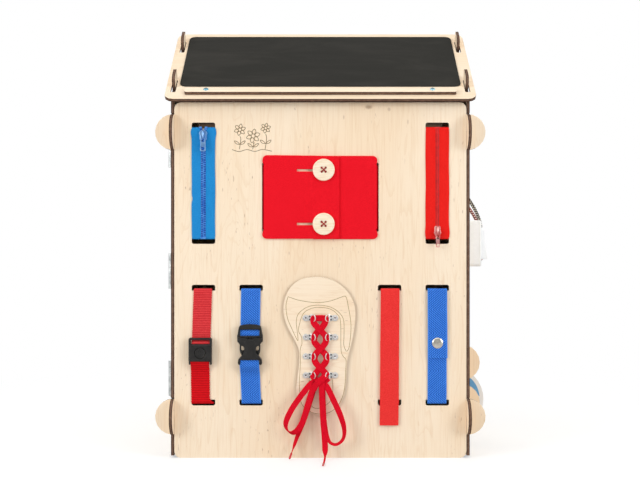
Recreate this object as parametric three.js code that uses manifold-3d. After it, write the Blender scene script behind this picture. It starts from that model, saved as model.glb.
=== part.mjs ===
// A free-standing plywood busy house: four hooked-together walls under a gable roof with a blackboard.
// The front carries zippers, a buttoned felt flap, buckled straps and a shoe to lace. The left wall has two doors,
// and the right wall a light switch, a picture wheel and a pull cord. Millimetres, +Z up, the front faces -Y.

import * as THREE from "three";
import { mergeVertices } from "three/addons/utils/BufferGeometryUtils.js";
import Module from "manifold-3d";

const wasm = await Module();
wasm.setup();

// Shared sizes
const ply = 4;
const fitGap = 0.3; // between pieces that rest on each other
const overrun = 2; // how far a cutter runs past what it cuts
const weld = 0.0001;
const cornerSteps = 3;
const arcSteps = 10; // of an ear
const roundSteps = 16;

// House body
const houseWidth = 382.4; // over the side walls
const houseDepth = 280; // front face to back face
const frontHeight = 455;
const wallLift = 3; // the side walls stop this far above the floor
const panelCornerR = 8;

// Half-round ears of the corner joints
const earR = 23;
const earReach = 20.3;
const lowEarHeight = 52.5;
const highEarInset = 38; // below the front panel's top
const hookPlay = 1.3; // free height above an ear, for hooking the panels together

// Roof
const roofPitch = 36.87 * THREE.MathUtils.DEG2RAD;
const roofOverhang = 7.8; // past the side walls
const eaveReach = 12; // in front of the front panel
const eaveRise = 2.7; // top of the eave above the front panel
const roofCornerR = 12;
const hookNeck = 20;
const hookHead = 26;
const hookHeight = 14;
const hookNoseR = 10;
const hookTipR = 3;
const lowerHookStart = 30; // along the slope from the eave
const upperHookInset = 24.6; // of the upper hook from the ridge
const roofSlotPlay = 12; // free length of a roof slot below its hook
const roofSlotSide = 1.3; // free width of a roof slot on each side of the wall
const roofSlotR = 1.5;

// Blackboard and chalk rail
const boardThickness = 1;
const boardSideInset = 17;
const boardStart = 32;
const boardEndInset = 10.6; // from the ridge
const boardCornerR = 8;
const railStart = 10.5;
const railDepth = 11.5;
const railSideInset = 25.5;
const railThickness = 4;
const railCornerR = 2;

// Slots in the front panel
const slotWidth = 30;
const slotHeight = 7.5;
const slotCornerR = 2.5; // at the end that the strap leaves free
const slotInnerR = 0.8;
const columnInset = 37.3; // of the outer slots' middle from the panel's side
const columnGap = 61; // from the outer to the inner slots
const zipTopInset = 25.9; // of the upper zipper slots from the panel's top
const rowGap = 52.3; // from the strap slots up to the zipper slots
const strapTop = 214; // lower edges of the slots
const strapBottom = 67;
const tailLength = 16; // what is glued down behind the panel

// Zippers
const tapePlay = 0.4; // beside the tape in its slot
const tapeThickness = 1;
const chainWidth = 6.9;
const chainThickness = 1.3;
const sliderWidth = 11.5;
const sliderWaist = 8;
const sliderLength = 13;
const sliderPlate = 1.8;
const sliderLip = 1.9;
const sliderLipDrop = 1.2;
const sliderInset = 9; // slider's middle from the edge of the slot it stands at
const bailWidth = 6.4;
const bailPost = 1.4;
const bailLength = 3.4;
const bailHeight = 3.2;
const bailBarR = 0.7;
const pullEyeBoreR = 1;
const pullEyeR = 1.7;
const pullEyeWidth = 2.9;
const pullWidth = 8.5;
const pullLength = 21;
const pullThickness = 1.5;
const pullHoleR = 2.2;

// Buttoned felt flap
const feltThickness = 1.8;
const feltHeight = 107;
const feltInset = 121.5; // of the felt's middle below the panel's top
const feltSlotX = 73; // middle of each slot
const feltSlotWidth = 3.2;
const feltSlotHeight = 88;
const feltCornerR = 6;
const feltEdgeReach = 1.5; // the felt's corners pass the slot by this
const topFlapEdge = 23.7;
const underFlapEdge = -9;
const flapRamp = 8;
const buttonR = 14;
const buttonThickness = 3.5;
const buttonX = 4.2;
const buttonSpread = 34.5; // of each button above or below the flap's middle
const buttonHoleR = 1.3;
const buttonHoleOffset = 2.6;
const buttonSlitStart = -30;
const buttonSlitEnd = 6;
const buttonSlitHeight = 4;

// Webbing straps
const strapWidth = 24.4;
const strapThickness = 1.5;
const layerGap = 0.4; // between the two layers of a fastened strap
const hookLoopEnd = 42;
const hookLoopUnderEnd = 150;
const studStrapEnd = 127.7;
const studUnderEnd = 158;
const studZ = 147.3;
const studR = 7.2;
const studDome = 2.2;
const studRim = 0.6;
const flapAxisY = 1; // the lifting straps turn in their slots
const flapEndInset = 0.5;

// Centre-push buckle of the red strap
const pushSkew = 3.4; // of the buckle to the left of its slots
const pushWidth = 29.6;
const pushBottom = 119.9;
const pushArmReach = 4.3; // of the arms below the body
const pushBodyLength = 20.8;
const pushFrameGap = 1.3;
const pushFrameLength = 7.8;
const pushThickness = 7.5;
const pushFrameThickness = 3.4;
const pushWindowWidth = 21.5;
const pushWindowHeight = 5.4;
const pushBarHeight = 2.6;
const pushArmWidth = 4;
const pushCornerR = 2.4;
const pushCavityWidth = 20;
const pushCavityHeight = 2.9;
const pushCavityDepth = 14;
const pushButtonR = 6.6;
const pushButtonThickness = 1.8;
const pushButtonProud = 0.6;

// Side-release buckle of the blue strap
const clipSkew = 1;
const clipThickness = 8;
const clipBottom = 119.6;
const clipBodyLength = 35.5;
const clipPlugLength = 16.4;
const clipLoopWindowWidth = 21;
const clipLoopWindowHeight = 3.4;
const clipLoopBar = 2.2;
const clipWall = 2;
const clipCavityHeight = 3.2;
const clipCavityDepth = 22.1;
const clipGuideWidth = 6;
const clipGuideLength = 18.1;
const clipPlugWindowWidth = 21;
const clipPlugWindowHeight = 5.6;
const clipPlugBar = 4;
const clipPlugHalf = 14;
const clipShoulderHalf = 16.2;
const clipShoulderRise = 3;
const clipArchRise = 2.2;
const clipPlugThickness = 6;
const prongRootX = 9.6;
const prongLength = 19.6;
const prongWidth = 3;
const prongBarb = 2.2;
const prongBarbShares = [0.535, 0.693]; // where the barb starts and ends along the body
const clipBodyHalf = 15.2;
// Half widths of the body, as shares of the widest, against shares of its height.
const clipBodyShares = [
  [0.98, 0],
  [1, 0.04],
  [1, 0.19],
  [0.86, 0.28],
  [0.72, 0.42],
  [0.72, 0.58],
  [0.96, 0.78],
  [0.98, 1],
];

// Shoe to lace
const shoeX = -1.3;
const shoeBottom = 54.8;
const shoeHeight = 176.9;
const shoeHalfWidth = 46;
const shoeThickness = 3;
const shoeSteps = 64;
// The outline as shares of the half width and of the height.
const shoeShares = [
  [-0.13, 1],
  [-0.51, 0.982],
  [-0.79, 0.928],
  [-0.94, 0.855],
  [-1, 0.765],
  [-0.914, 0.66],
  [-0.7, 0.552],
  [-0.574, 0.479],
  [-0.557, 0.404],
  [-0.61, 0.266],
  [-0.646, 0.174],
  [-0.579, 0.11],
  [-0.398, 0.05],
  [-0.203, 0.017],
  [0.02, 0],
  [0.27, 0.011],
  [0.493, 0.054],
  [0.646, 0.124],
  [0.724, 0.22],
  [0.752, 0.32],
  [0.777, 0.404],
  [0.847, 0.472],
  [0.939, 0.58],
  [0.994, 0.68],
  [1, 0.765],
  [0.936, 0.829],
  [0.758, 0.903],
  [0.473, 0.963],
  [0.187, 0.993],
];

// Lace rings
const ringRows = [106.1, 130.3, 154.8, 179.2];
const ringMiddleX = 0.1;
const ringRivetX = 18.6;
const ringTabHeight = 8.2;
const ringTabThickness = 1;
const ringTabEnd = 11;
const ringSleeveX = 11;
const ringSleeveR = 1.5;
const ringSleeveLength = 9.8;
const ringWireR = 0.7;
const ringBow = 5;
const ringBowHalf = 4.2;
const ringRivetR = 2.4;
const ringRivetHead = 0.8;
const wireSides = 6;
const wireSteps = 6;

// Lace
const laceWidth = 7.4;
const laceThickness = 1.4;
const laceHalfSpread = 7.6;
const laceEndInset = 1.2;
const knotZ = 97;
const knotWidth = 12;
const knotHeight = 9;
const knotThickness = 6;
// Centre lines of the two free ends: a bow loop and a tail each, chosen by hand.
const laceLeftRoute = [
  [-9.8, -11.2, 92.6],
  [-14.5, -13, 87],
  [-22, -14.5, 78],
  [-31, -15.5, 65],
  [-40, -15, 52],
  [-45, -14, 42],
  [-44.5, -13, 34.5],
  [-37, -12.5, 32.5],
  [-28, -12, 38.5],
  [-20, -11, 52],
  [-14.5, -9, 66],
  [-12.5, -7, 71],
  [-12.5, -5.2, 68],
  [-15, -4.6, 60],
  [-20, -4.6, 49],
  [-26, -4.6, 38],
  [-31.5, -4.8, 26],
  [-36, -5.2, 14],
  [-38, -5.6, 4],
];
const laceRightRoute = [
  [8.8, -11.2, 92.6],
  [12.6, -13, 86.5],
  [17, -14, 76],
  [25, -15, 60],
  [31, -15, 44],
  [32.5, -14.5, 31],
  [28, -14, 22],
  [20.5, -13.5, 19],
  [14, -13, 25],
  [10.5, -12, 38],
  [7.5, -10, 54],
  [6, -7.4, 66],
  [5.4, -5.4, 68],
  [5.4, -4.6, 60],
  [6, -4.8, 46],
  [6.4, -6, 31, 0.1],
  [6.2, -12, 16, 0.4],
  [5.4, -24, 6.5, 0.8],
  [4.4, -40, 2.4, 1],
  [3.2, -58, 1.6, 1],
];

// Doors of the left wall
const doorFrontGap = 0.7;
const doorGap = 0.7;
const doorCornerR = 4;
const hingeAxisY = 17;
const upperDoorTopInset = 23; // below the front panel's top
const upperDoorBottom = 203;
const upperDoorWidth = 190;
const lowerDoorBottom = 45;
const lowerDoorHeight = 110;
const lowerDoorWidth = 110;
const fingerHoleR = 12;
const fingerHoleInset = 24;

// Butt hinges
const hingeLength = 46.4;
const hingeKnuckles = 4;
const hingeKnuckleR = 2.6;
const hingePinR = 1;
const hingeBoreR = 1.3;
const hingeLeaf = 1;
const hingeLeafWidth = 12;
const hingeLeafStart = 3; // of the leaf's full-height part from the axis
const hingeInset = 36; // of the upper door's hinges from its ends

// Light switch
const switchSize = 62;
const switchY = 91;
const switchZ = 275;
const switchDepth = 24;
const switchBevel = 3;
const rockerSideInset = 11;
const rockerEndInset = 9.5;
const rockerThickness = 9;
const rockerProud = 6; // middle of the rocker's face in front of the box
const rockerTilt = 6 * THREE.MathUtils.DEG2RAD; // its lower half stands out
const rockerPivotDepth = 6.5;
const rockerWellDepth = 7;
const rockerPlay = 1;

// Picture wheel and its brackets
const wheelR = 43;
const wheelThickness = 4;
const wheelY = 82;
const wheelZ = 64.5;
const wheelInset = 13.2; // of the axle inside the wall's outer face
const wheelPlay = 1;
const axleR = 3;
const axleLength = 44;
const axleBoreR = 3.3;
const bracketSpread = 18; // of each bracket in front of or behind the wheel
const bracketEarR = 23.7;
const bracketEarReach = 22.2;
const bracketEarHeights = [62.6, 115.5];
const bracketInside = 27;
const bracketMargin = 6;

// Pull cord
const cordR = 2;
const cordHoleR = 3;
const cordSides = 8;
const cordStepsPerPoint = 1;
// Centre line of the loop, from inside the wall, out, down and back in, chosen by hand.
const cordRoute = [
  [184, 141, 352],
  [192, 141, 352],
  [198.5, 141, 349.8],
  [205, 141, 343.5],
  [211.7, 141, 334.5],
  [221, 141.5, 320],
  [228, 142, 306],
  [232, 143, 290],
  [233.5, 145, 273],
  [232.5, 149, 258],
  [230, 154, 251.5],
  [229.5, 159, 254],
  [231, 162.5, 263],
  [232.5, 164, 277],
  [231, 165, 292],
  [228, 165, 305],
  [222, 165, 315],
  [214, 165, 325.5],
  [206, 165, 335],
  [199, 165, 341.8],
  [192, 165, 344],
  [184, 165, 344],
];

// Places worked out from the sizes above
const wallOuter = houseWidth / 2;
const wallInner = wallOuter - ply;
const panelHalf = wallInner - fitGap;
const earInset = earR - earReach;
const backFace = houseDepth;
const slopeCos = Math.cos(roofPitch);
const slopeSin = Math.sin(roofPitch);
const eaveZ = frontHeight + eaveRise;
const roofLength = (houseDepth / 2 + eaveReach - ply * slopeSin - fitGap) / slopeCos;
const roofWidth = houseWidth + 2 * roofOverhang;
const roofSlotWidth = ply + 2 * roofSlotSide;
const earHeights = [lowEarHeight, frontHeight - highEarInset];
const hookStarts = [lowerHookStart, roofLength - upperHookInset - hookNeck];
const boardWidth = roofWidth - 2 * boardSideInset;
const railLength = roofWidth - 2 * railSideInset;
const boardLength = roofLength - boardStart - boardEndInset;
const zipTop = frontHeight - zipTopInset - slotHeight;
const zipBottom = strapTop + slotHeight + rowGap;
const outerColumn = panelHalf - columnInset; // from the middle to the outer slots
const innerColumn = outerColumn - columnGap;
const pushX = -outerColumn - pushSkew;
const clipX = -innerColumn - clipSkew;
const tapeWidth = slotWidth - 2 * tapePlay;
const feltMiddleZ = frontHeight - feltInset;
const upperDoorTop = frontHeight - upperDoorTopInset;
const lowerDoorTop = lowerDoorBottom + lowerDoorHeight;

// Materials
const material = (color, roughness, metalness = 0) => new THREE.MeshStandardMaterial({ color, roughness, metalness });
const birch = material(0xecd3ab, 0.6);
const birchDark = material(0xe0bd8a, 0.6);
const blackboard = material(0x34332f, 0.85);
const blueTape = material(0x1273c9, 0.85);
const redTape = material(0xc5101a, 0.85);
const redFelt = material(0xcf1320, 0.95);
const redWebbing = material(0xb3101c, 0.8);
const blueWebbing = material(0x1a50bd, 0.8);
const redLace = material(0xc00d1f, 0.85);
const blackPlastic = material(0x17181a, 0.45);
const whitePlastic = material(0xf1efe8, 0.35);
const zinc = material(0xb6bab9, 0.35, 0.9);
const nickel = material(0xcfcac1, 0.25, 0.95);
const bluePaint = material(0x6fa8dc, 0.35, 0.7);
const redPaint = material(0xd98a86, 0.35, 0.7);
const whiteLaminate = material(0xf3f3f1, 0.3);
const braid = material(0x5a3f3a, 0.8);

// Solids and booleans

function solidOf(geometry) {
  const bare = geometry.index ? geometry.toNonIndexed() : geometry.clone();
  bare.deleteAttribute("normal");
  bare.deleteAttribute("uv");
  const merged = mergeVertices(bare, weld);
  return new wasm.Manifold(
    new wasm.Mesh({
      numProp: 3,
      vertProperties: merged.attributes.position.array,
      triVerts: new Uint32Array(merged.index.array),
    }),
  );
}

function geometryOf(solid) {
  const surface = solid.getMesh();
  const geometry = new THREE.BufferGeometry();
  geometry.setAttribute("position", new THREE.BufferAttribute(surface.vertProperties, 3));
  geometry.setIndex(new THREE.BufferAttribute(surface.triVerts, 1));
  return geometry;
}

function join(...geometries) {
  return geometryOf(geometries.map(solidOf).reduce((whole, piece) => whole.add(piece)));
}

function cut(body, ...tools) {
  return geometryOf(tools.map(solidOf).reduce((left, tool) => left.subtract(tool), solidOf(body)));
}

// Shapes and slabs

function polygon(points, Kind = THREE.Shape) {
  return new Kind(points.map(([x, y]) => new THREE.Vector2(x, y)));
}

function arc(x, y, radius, from, to, steps = cornerSteps) {
  return Array.from({ length: steps + 1 }, (_, i) => {
    const angle = from + ((to - from) * i) / steps;
    return [x + radius * Math.cos(angle), y + radius * Math.sin(angle)];
  });
}

// A rectangle with round corners, from its low corner. Its upper corners may have another radius.
function roundedRect(left, bottom, width, height, radius, Kind = THREE.Shape, topRadius = radius) {
  const right = left + width;
  const top = bottom + height;
  const points = [
    ...arc(right - radius, bottom + radius, radius, -Math.PI / 2, 0),
    ...arc(right - topRadius, top - topRadius, topRadius, 0, Math.PI / 2),
    ...arc(left + topRadius, top - topRadius, topRadius, Math.PI / 2, Math.PI),
    ...arc(left + radius, bottom + radius, radius, Math.PI, 1.5 * Math.PI),
  ];
  return polygon(points, Kind);
}

function circle(x, y, radius, Kind = THREE.Shape, steps = roundSteps) {
  return polygon(arc(x, y, radius, 0, 2 * Math.PI, steps).slice(1), Kind);
}

function slab(shape, thickness) {
  return new THREE.ExtrudeGeometry(shape, { depth: thickness, bevelEnabled: false });
}

// Drawn in X and Z, with its front face at frontY.
function frontSlab(shape, thickness, frontY) {
  return slab(shape, thickness)
    .rotateX(Math.PI / 2)
    .translate(0, frontY + thickness, 0);
}

// Drawn in Y and Z, with its low face at lowX.
function sideSlab(shape, thickness, lowX) {
  return slab(shape, thickness)
    .rotateX(Math.PI / 2)
    .rotateZ(Math.PI / 2)
    .translate(lowX, 0, 0);
}

function block([lowX, highX], [lowY, highY], [lowZ, highZ]) {
  return new THREE.BoxGeometry(highX - lowX, highY - lowY, highZ - lowZ).translate(
    (lowX + highX) / 2,
    (lowY + highY) / 2,
    (lowZ + highZ) / 2,
  );
}

function rodAlongX(radius, length, y, z, steps = roundSteps) {
  return new THREE.CylinderGeometry(radius, radius, length, steps).rotateZ(Math.PI / 2).translate(0, y, z);
}

function rodAlongY(radius, [lowY, highY], x, z, steps = roundSteps) {
  return new THREE.CylinderGeometry(radius, radius, highY - lowY, steps).translate(x, (lowY + highY) / 2, z);
}

function rodAlongZ(radius, [lowZ, highZ], x, y, steps = roundSteps) {
  return new THREE.CylinderGeometry(radius, radius, highZ - lowZ, steps)
    .rotateX(Math.PI / 2)
    .translate(x, y, (lowZ + highZ) / 2);
}

// The outline of a band of even thickness along a line of [across, up] points.
function bandShape(line, thickness) {
  const points = line.map(([x, y]) => new THREE.Vector2(x, y));
  const offsets = points.map((point, i) => {
    const into = point.clone().sub(points[Math.max(i - 1, 0)]);
    const out = points[Math.min(i + 1, points.length - 1)].clone().sub(point);
    const directions = [into, out].filter((step) => step.length() > 0).map((step) => step.normalize());
    const along = directions.reduce((sum, step) => sum.clone().add(step)).normalize();
    const stretch = 1 / along.dot(directions[0]);
    return new THREE.Vector2(-along.y, along.x).multiplyScalar((stretch * thickness) / 2);
  });
  const left = points.map((point, i) => point.clone().add(offsets[i]));
  const right = points.map((point, i) => point.clone().sub(offsets[i]));
  return new THREE.Shape([...left, ...right.reverse()]);
}

// A flat ribbon along a route. It faces -Y, or leans back to face up by the share that a point gives as its fourth.
function ribbon(route, width, thickness) {
  const points = route.map(([x, y, z]) => new THREE.Vector3(x, y, z));
  const corners = points.flatMap((point, i) => {
    const before = points[Math.max(i - 1, 0)];
    const after = points[Math.min(i + 1, points.length - 1)];
    const along = after.clone().sub(before).normalize();
    const lean = route[i][3] ?? 0;
    const across = along.clone().cross(new THREE.Vector3(0, lean - 1, lean)).normalize();
    const normal = along.clone().cross(across);
    return [
      [-1, -1],
      [1, -1],
      [1, 1],
      [-1, 1],
    ].map(([a, b]) =>
      point
        .clone()
        .addScaledVector(across, (a * width) / 2)
        .addScaledVector(normal, (b * thickness) / 2),
    );
  });
  const ring = (i) => [0, 1, 2, 3].map((corner) => i * 4 + corner);
  const faces = [];
  const quad = (a, b, c, d) => faces.push(a, b, c, a, c, d);
  for (let i = 0; i < points.length - 1; i++) {
    const here = ring(i);
    const next = ring(i + 1);
    for (let side = 0; side < 4; side++) {
      const other = (side + 1) % 4;
      quad(here[side], here[other], next[other], next[side]);
    }
  }
  quad(...ring(0).reverse());
  quad(...ring(points.length - 1));
  const geometry = new THREE.BufferGeometry().setFromPoints(corners);
  geometry.setIndex(faces);
  return geometry;
}

// House walls

// A wall's front edge going up, with its ears and the open slot above the middle of each.
function slottedEdge() {
  const points = [[0, wallLift]];
  const startAngle = -Math.acos(earInset / earR);
  for (const height of earHeights) {
    const endAngle = Math.acos((earInset + fitGap) / earR);
    const round = arc(0, height, earR, startAngle, endAngle, arcSteps);
    points.push(...round.map(([y, z]) => [earInset - y, z]));
    points.push([-fitGap, height]);
    points.push([ply + fitGap, height]);
    points.push([ply + fitGap, height + earR + hookPlay]);
    points.push([0, height + earR + hookPlay]);
  }
  return points;
}

// A point on or above the front slope: along it from the eave, and out from its top face.
const onSlope = (along, out) => [
  -eaveReach + along * slopeCos - out * slopeSin,
  eaveZ + along * slopeSin + out * slopeCos,
];

// The gable's front slope going up, with the hooks that hold the roof.
function gableEdge() {
  const under = -ply - fitGap;
  const startAlong = (eaveReach + under * slopeSin) / slopeCos;
  const points = [onSlope(startAlong, under)];
  for (const start of hookStarts) {
    const neckStart = start + fitGap;
    const neckEnd = start + hookNeck - fitGap;
    const tip = start + hookHead;
    points.push(onSlope(neckStart, under));
    const nose = arc(neckStart + hookNoseR, hookHeight - hookNoseR, hookNoseR, Math.PI, Math.PI / 2, cornerSteps * 2);
    const tipCorner = arc(tip - hookTipR, hookHeight - hookTipR, hookTipR, Math.PI / 2, 0);
    points.push(...[...nose, ...tipCorner].map((place) => onSlope(...place)));
    points.push(onSlope(tip, fitGap));
    points.push(onSlope(neckEnd, fitGap));
    points.push(onSlope(neckEnd, under));
  }
  return points;
}

function sideWall(lowX, ...openings) {
  const front = [...slottedEdge(), ...gableEdge()];
  const ridgeZ = eaveZ + (houseDepth / 2 + eaveReach) * Math.tan(roofPitch) - (ply + fitGap) / slopeCos;
  const back = front.map(([y, z]) => [houseDepth - y, z]).reverse();
  const outline = [...front, [houseDepth / 2, ridgeZ], ...back];
  return cut(sideSlab(polygon(outline), ply, lowX), ...openings);
}

// A front or back panel's right edge going up, with ears that hook over those of the side walls.
function hookedEdge() {
  const points = [];
  const earX = wallOuter - earInset;
  const startAngle = -Math.acos((earInset + fitGap) / earR);
  for (const height of earHeights) {
    points.push([panelHalf, height + fitGap]);
    points.push([wallOuter + fitGap, height + fitGap]);
    points.push(...arc(earX, height, earR, startAngle, Math.PI / 2, arcSteps));
    points.push([panelHalf, height + earR]);
  }
  return points;
}

function endPanel(frontY, holes) {
  const cornerX = panelHalf - panelCornerR;
  const right = [
    ...arc(cornerX, panelCornerR, panelCornerR, -Math.PI / 2, 0),
    ...hookedEdge(),
    ...arc(cornerX, frontHeight - panelCornerR, panelCornerR, 0, Math.PI / 2),
  ];
  const left = right.map(([x, z]) => [-x, z]).reverse();
  const shape = polygon([...right, ...left]);
  shape.holes.push(...holes);
  return frontSlab(shape, ply, frontY);
}

// An upper slot has its rounder corners at the top, a lower one at the bottom.
function slotPair(x, upper, lower) {
  const left = x - slotWidth / 2;
  const size = [slotWidth, slotHeight];
  return [
    roundedRect(left, upper, ...size, slotInnerR, THREE.Path, slotCornerR),
    roundedRect(left, lower, ...size, slotCornerR, THREE.Path, slotInnerR),
  ];
}

function frontHoles() {
  const zipSlots = [-outerColumn, outerColumn].flatMap((x) => slotPair(x, zipTop, zipBottom));
  const strapColumns = [-outerColumn, -innerColumn, innerColumn, outerColumn];
  const strapSlots = strapColumns.flatMap((x) => slotPair(x, strapTop, strapBottom));
  const feltSlots = [-feltSlotX, feltSlotX].map((x) =>
    roundedRect(
      x - feltSlotWidth / 2,
      feltMiddleZ - feltSlotHeight / 2,
      feltSlotWidth,
      feltSlotHeight,
      feltSlotWidth / 2,
      THREE.Path,
    ),
  );
  return [...zipSlots, ...strapSlots, ...feltSlots];
}

// Roof, drawn flat with Y up the slope and its top face at zero

function roofPanel() {
  const shape = roundedRect(-roofWidth / 2, 0, roofWidth, roofLength, roofCornerR);
  const slotX = wallOuter - ply / 2;
  for (const side of [-1, 1]) {
    for (const start of hookStarts) {
      const length = hookNeck + roofSlotPlay;
      const left = side * slotX - roofSlotWidth / 2;
      shape.holes.push(roundedRect(left, start - roofSlotPlay, roofSlotWidth, length, roofSlotR, THREE.Path));
    }
  }
  return slab(shape, ply).translate(0, 0, -ply);
}

function blackboardSheet() {
  const shape = roundedRect(-boardWidth / 2, boardStart, boardWidth, boardLength, boardCornerR);
  return slab(shape, boardThickness).translate(0, 0, fitGap);
}

function chalkRail() {
  const shape = roundedRect(-railLength / 2, railStart, railLength, railDepth, railCornerR);
  return slab(shape, railThickness).translate(0, 0, fitGap);
}

// Zippers

const tapeFront = -fitGap - tapeThickness;
const chainFront = tapeFront - chainThickness;
const sliderBack = chainFront - fitGap;
const sliderFront = sliderBack - sliderPlate;
const bailY = sliderFront - bailHeight + bailBarR;
const sliderRestBlue = zipTop - sliderInset;
const sliderRestRed = zipBottom + slotHeight + sliderInset;

// A strip that runs in at one slot and out at the other, tucked down behind the panel.
function tuckedLine(topZ, bottomZ, thickness) {
  const frontY = -fitGap - thickness / 2;
  const behindY = ply + fitGap + thickness / 2;
  return [
    [behindY, topZ + tailLength],
    [behindY, topZ],
    [frontY, topZ],
    [frontY, bottomZ],
    [behindY, bottomZ],
    [behindY, bottomZ - tailLength],
  ];
}

function zipTape(x) {
  const top = zipTop + fitGap + tapeThickness / 2;
  const bottom = zipBottom + slotHeight - fitGap - tapeThickness / 2;
  const band = sideSlab(bandShape(tuckedLine(top, bottom, tapeThickness), tapeThickness), tapeWidth, x - tapeWidth / 2);
  const half = chainWidth / 2;
  const chain = block(
    [x - half, x + half],
    [chainFront, tapeFront + tapeThickness / 2],
    [bottom + tapeThickness, top - tapeThickness],
  );
  return join(band, chain);
}

// The wide shoulder of the slider leads, at the end where the chain opens.
function zipSlider(x, z, lead) {
  const half = sliderLength / 2;
  const outline = [
    [-sliderWidth / 2, (lead * half) / 3],
    [-sliderWidth / 4, lead * half],
    [sliderWidth / 4, lead * half],
    [sliderWidth / 2, (lead * half) / 3],
    [sliderWaist / 2 + sliderLip / 2, -lead * half],
    [-sliderWaist / 2 - sliderLip / 2, -lead * half],
  ];
  const plate = frontSlab(polygon(outline), sliderPlate, sliderFront);
  const lips = [-1, 1].map((side) => {
    const outer = side * (sliderWaist / 2 + sliderLip / 2);
    const inner = side * (chainWidth / 2 + fitGap);
    const across = [Math.min(inner, outer), Math.max(inner, outer)];
    return block(across, [sliderBack - sliderPlate / 2, sliderBack + sliderLipDrop], [-half / 2, half / 3]);
  });
  const posts = [-1, 1].map((side) => {
    const middle = (side * (bailWidth - bailPost)) / 2;
    return block(
      [middle - bailPost / 2, middle + bailPost / 2],
      [bailY - bailBarR, sliderFront + sliderPlate / 2],
      [-bailLength / 2, bailLength / 2],
    );
  });
  const bar = rodAlongX(bailBarR, bailWidth - bailPost, bailY, 0, 10);
  return join(plate, ...lips, ...posts, bar).translate(x, 0, z);
}

function zipPull(x, z) {
  const eye = rodAlongX(pullEyeR, pullEyeWidth, 0, 0, 12);
  const neck = block([-pullEyeWidth / 2, pullEyeWidth / 2], [-pullThickness / 2, pullThickness / 2], [-pullEyeR * 2, 0]);
  const shape = roundedRect(-pullWidth / 2, -pullLength, pullWidth, pullLength - pullEyeR * 1.5, pullWidth / 2.5);
  shape.holes.push(circle(0, -pullLength + pullHoleR * 2, pullHoleR, THREE.Path, 10));
  const tab = frontSlab(shape, pullThickness, -pullThickness / 2);
  const bore = rodAlongX(pullEyeBoreR, pullEyeWidth + overrun, 0, 0, 12);
  return cut(join(eye, neck, tab), bore).translate(x, bailY, z);
}

// Felt flap and buttons

const underFelt = -fitGap - feltThickness / 2;
const topFelt = underFelt - feltThickness - fitGap;
const feltFront = topFelt - feltThickness / 2;

// A flap drawn in X and Y, trimmed so that only its tongue goes through the slot.
function feltFlap(side, line) {
  const low = feltMiddleZ - feltHeight / 2;
  const whole = slab(bandShape(line, feltThickness), feltHeight).translate(0, 0, low);
  const tongueHalf = feltSlotHeight / 2 - feltCornerR / 2;
  const behind = [-feltThickness - overrun, ply + feltThickness + tailLength];
  const across = [side * (feltSlotX - feltSlotWidth), side * (feltSlotX + tailLength + overrun)];
  const span = [Math.min(...across), Math.max(...across)];
  const clear = [fitGap / 2 - fitGap, behind[1]];
  const above = block(span, clear, [feltMiddleZ + tongueHalf, low + feltHeight + overrun]);
  const below = block(span, clear, [low - overrun, feltMiddleZ - tongueHalf]);
  return cut(whole, above, below);
}

function topFlap() {
  const behindY = ply + fitGap + feltThickness / 2;
  const slotX = -feltSlotX;
  const line = [
    [slotX - tailLength, behindY],
    [slotX, behindY],
    [slotX, underFelt],
    [underFlapEdge - flapRamp - feltThickness, underFelt],
    [underFlapEdge - feltThickness, topFelt],
    [topFlapEdge, topFelt],
  ];
  const slits = [-1, 1].map((row) => {
    const z = feltMiddleZ + row * buttonSpread;
    const half = buttonSlitHeight / 2;
    return block([buttonSlitStart, buttonSlitEnd], [feltFront - overrun, 0], [z - half, z + half]);
  });
  return cut(feltFlap(-1, line), ...slits);
}

function underFlap() {
  const behindY = ply + fitGap + feltThickness / 2;
  return feltFlap(1, [
    [feltSlotX + tailLength, behindY],
    [feltSlotX, behindY],
    [feltSlotX, underFelt],
    [underFlapEdge, underFelt],
  ]);
}

function feltButton(row) {
  const z = feltMiddleZ + row * buttonSpread;
  const shape = circle(buttonX, z, buttonR, THREE.Shape, roundSteps * 2);
  for (const [dx, dz] of [
    [-1, -1],
    [1, -1],
    [1, 1],
    [-1, 1],
  ]) {
    const holeX = buttonX + dx * buttonHoleOffset;
    const holeZ = z + dz * buttonHoleOffset;
    shape.holes.push(circle(holeX, holeZ, buttonHoleR, THREE.Path, 8));
  }
  return frontSlab(shape, buttonThickness, feltFront - fitGap - buttonThickness);
}

// Straps

const strapMiddleY = -fitGap - strapThickness / 2;
const strapFront = -fitGap - strapThickness;
const strapBehindY = ply + fitGap + strapThickness / 2;
const lipRise = fitGap + strapThickness / 2;

function strapBand(x, line) {
  return sideSlab(bandShape(line, strapThickness), strapWidth, x - strapWidth / 2);
}

// Fixed in the top slot and hanging down the front.
function upperStrap(x, end) {
  return strapBand(x, [
    [strapBehindY, strapTop + lipRise + tailLength],
    [strapBehindY, strapTop + lipRise],
    [strapMiddleY, strapTop + lipRise],
    [strapMiddleY, end],
  ]);
}

// Fixed in the bottom slot and running up the front.
function lowerStrap(x, end) {
  return strapBand(x, [
    [strapBehindY, strapBottom + lipRise - tailLength],
    [strapBehindY, strapBottom + lipRise],
    [strapMiddleY, strapBottom + lipRise],
    [strapMiddleY, end],
  ]);
}

const liftedY = strapFront - layerGap - strapThickness / 2;

// A strap's outer layer, which lifts about its slot.
function liftingStrap(x, end) {
  return strapBand(x, [
    [flapAxisY + flapEndInset, strapTop + lipRise],
    [liftedY, strapTop + lipRise],
    [liftedY, end],
  ]);
}

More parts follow.
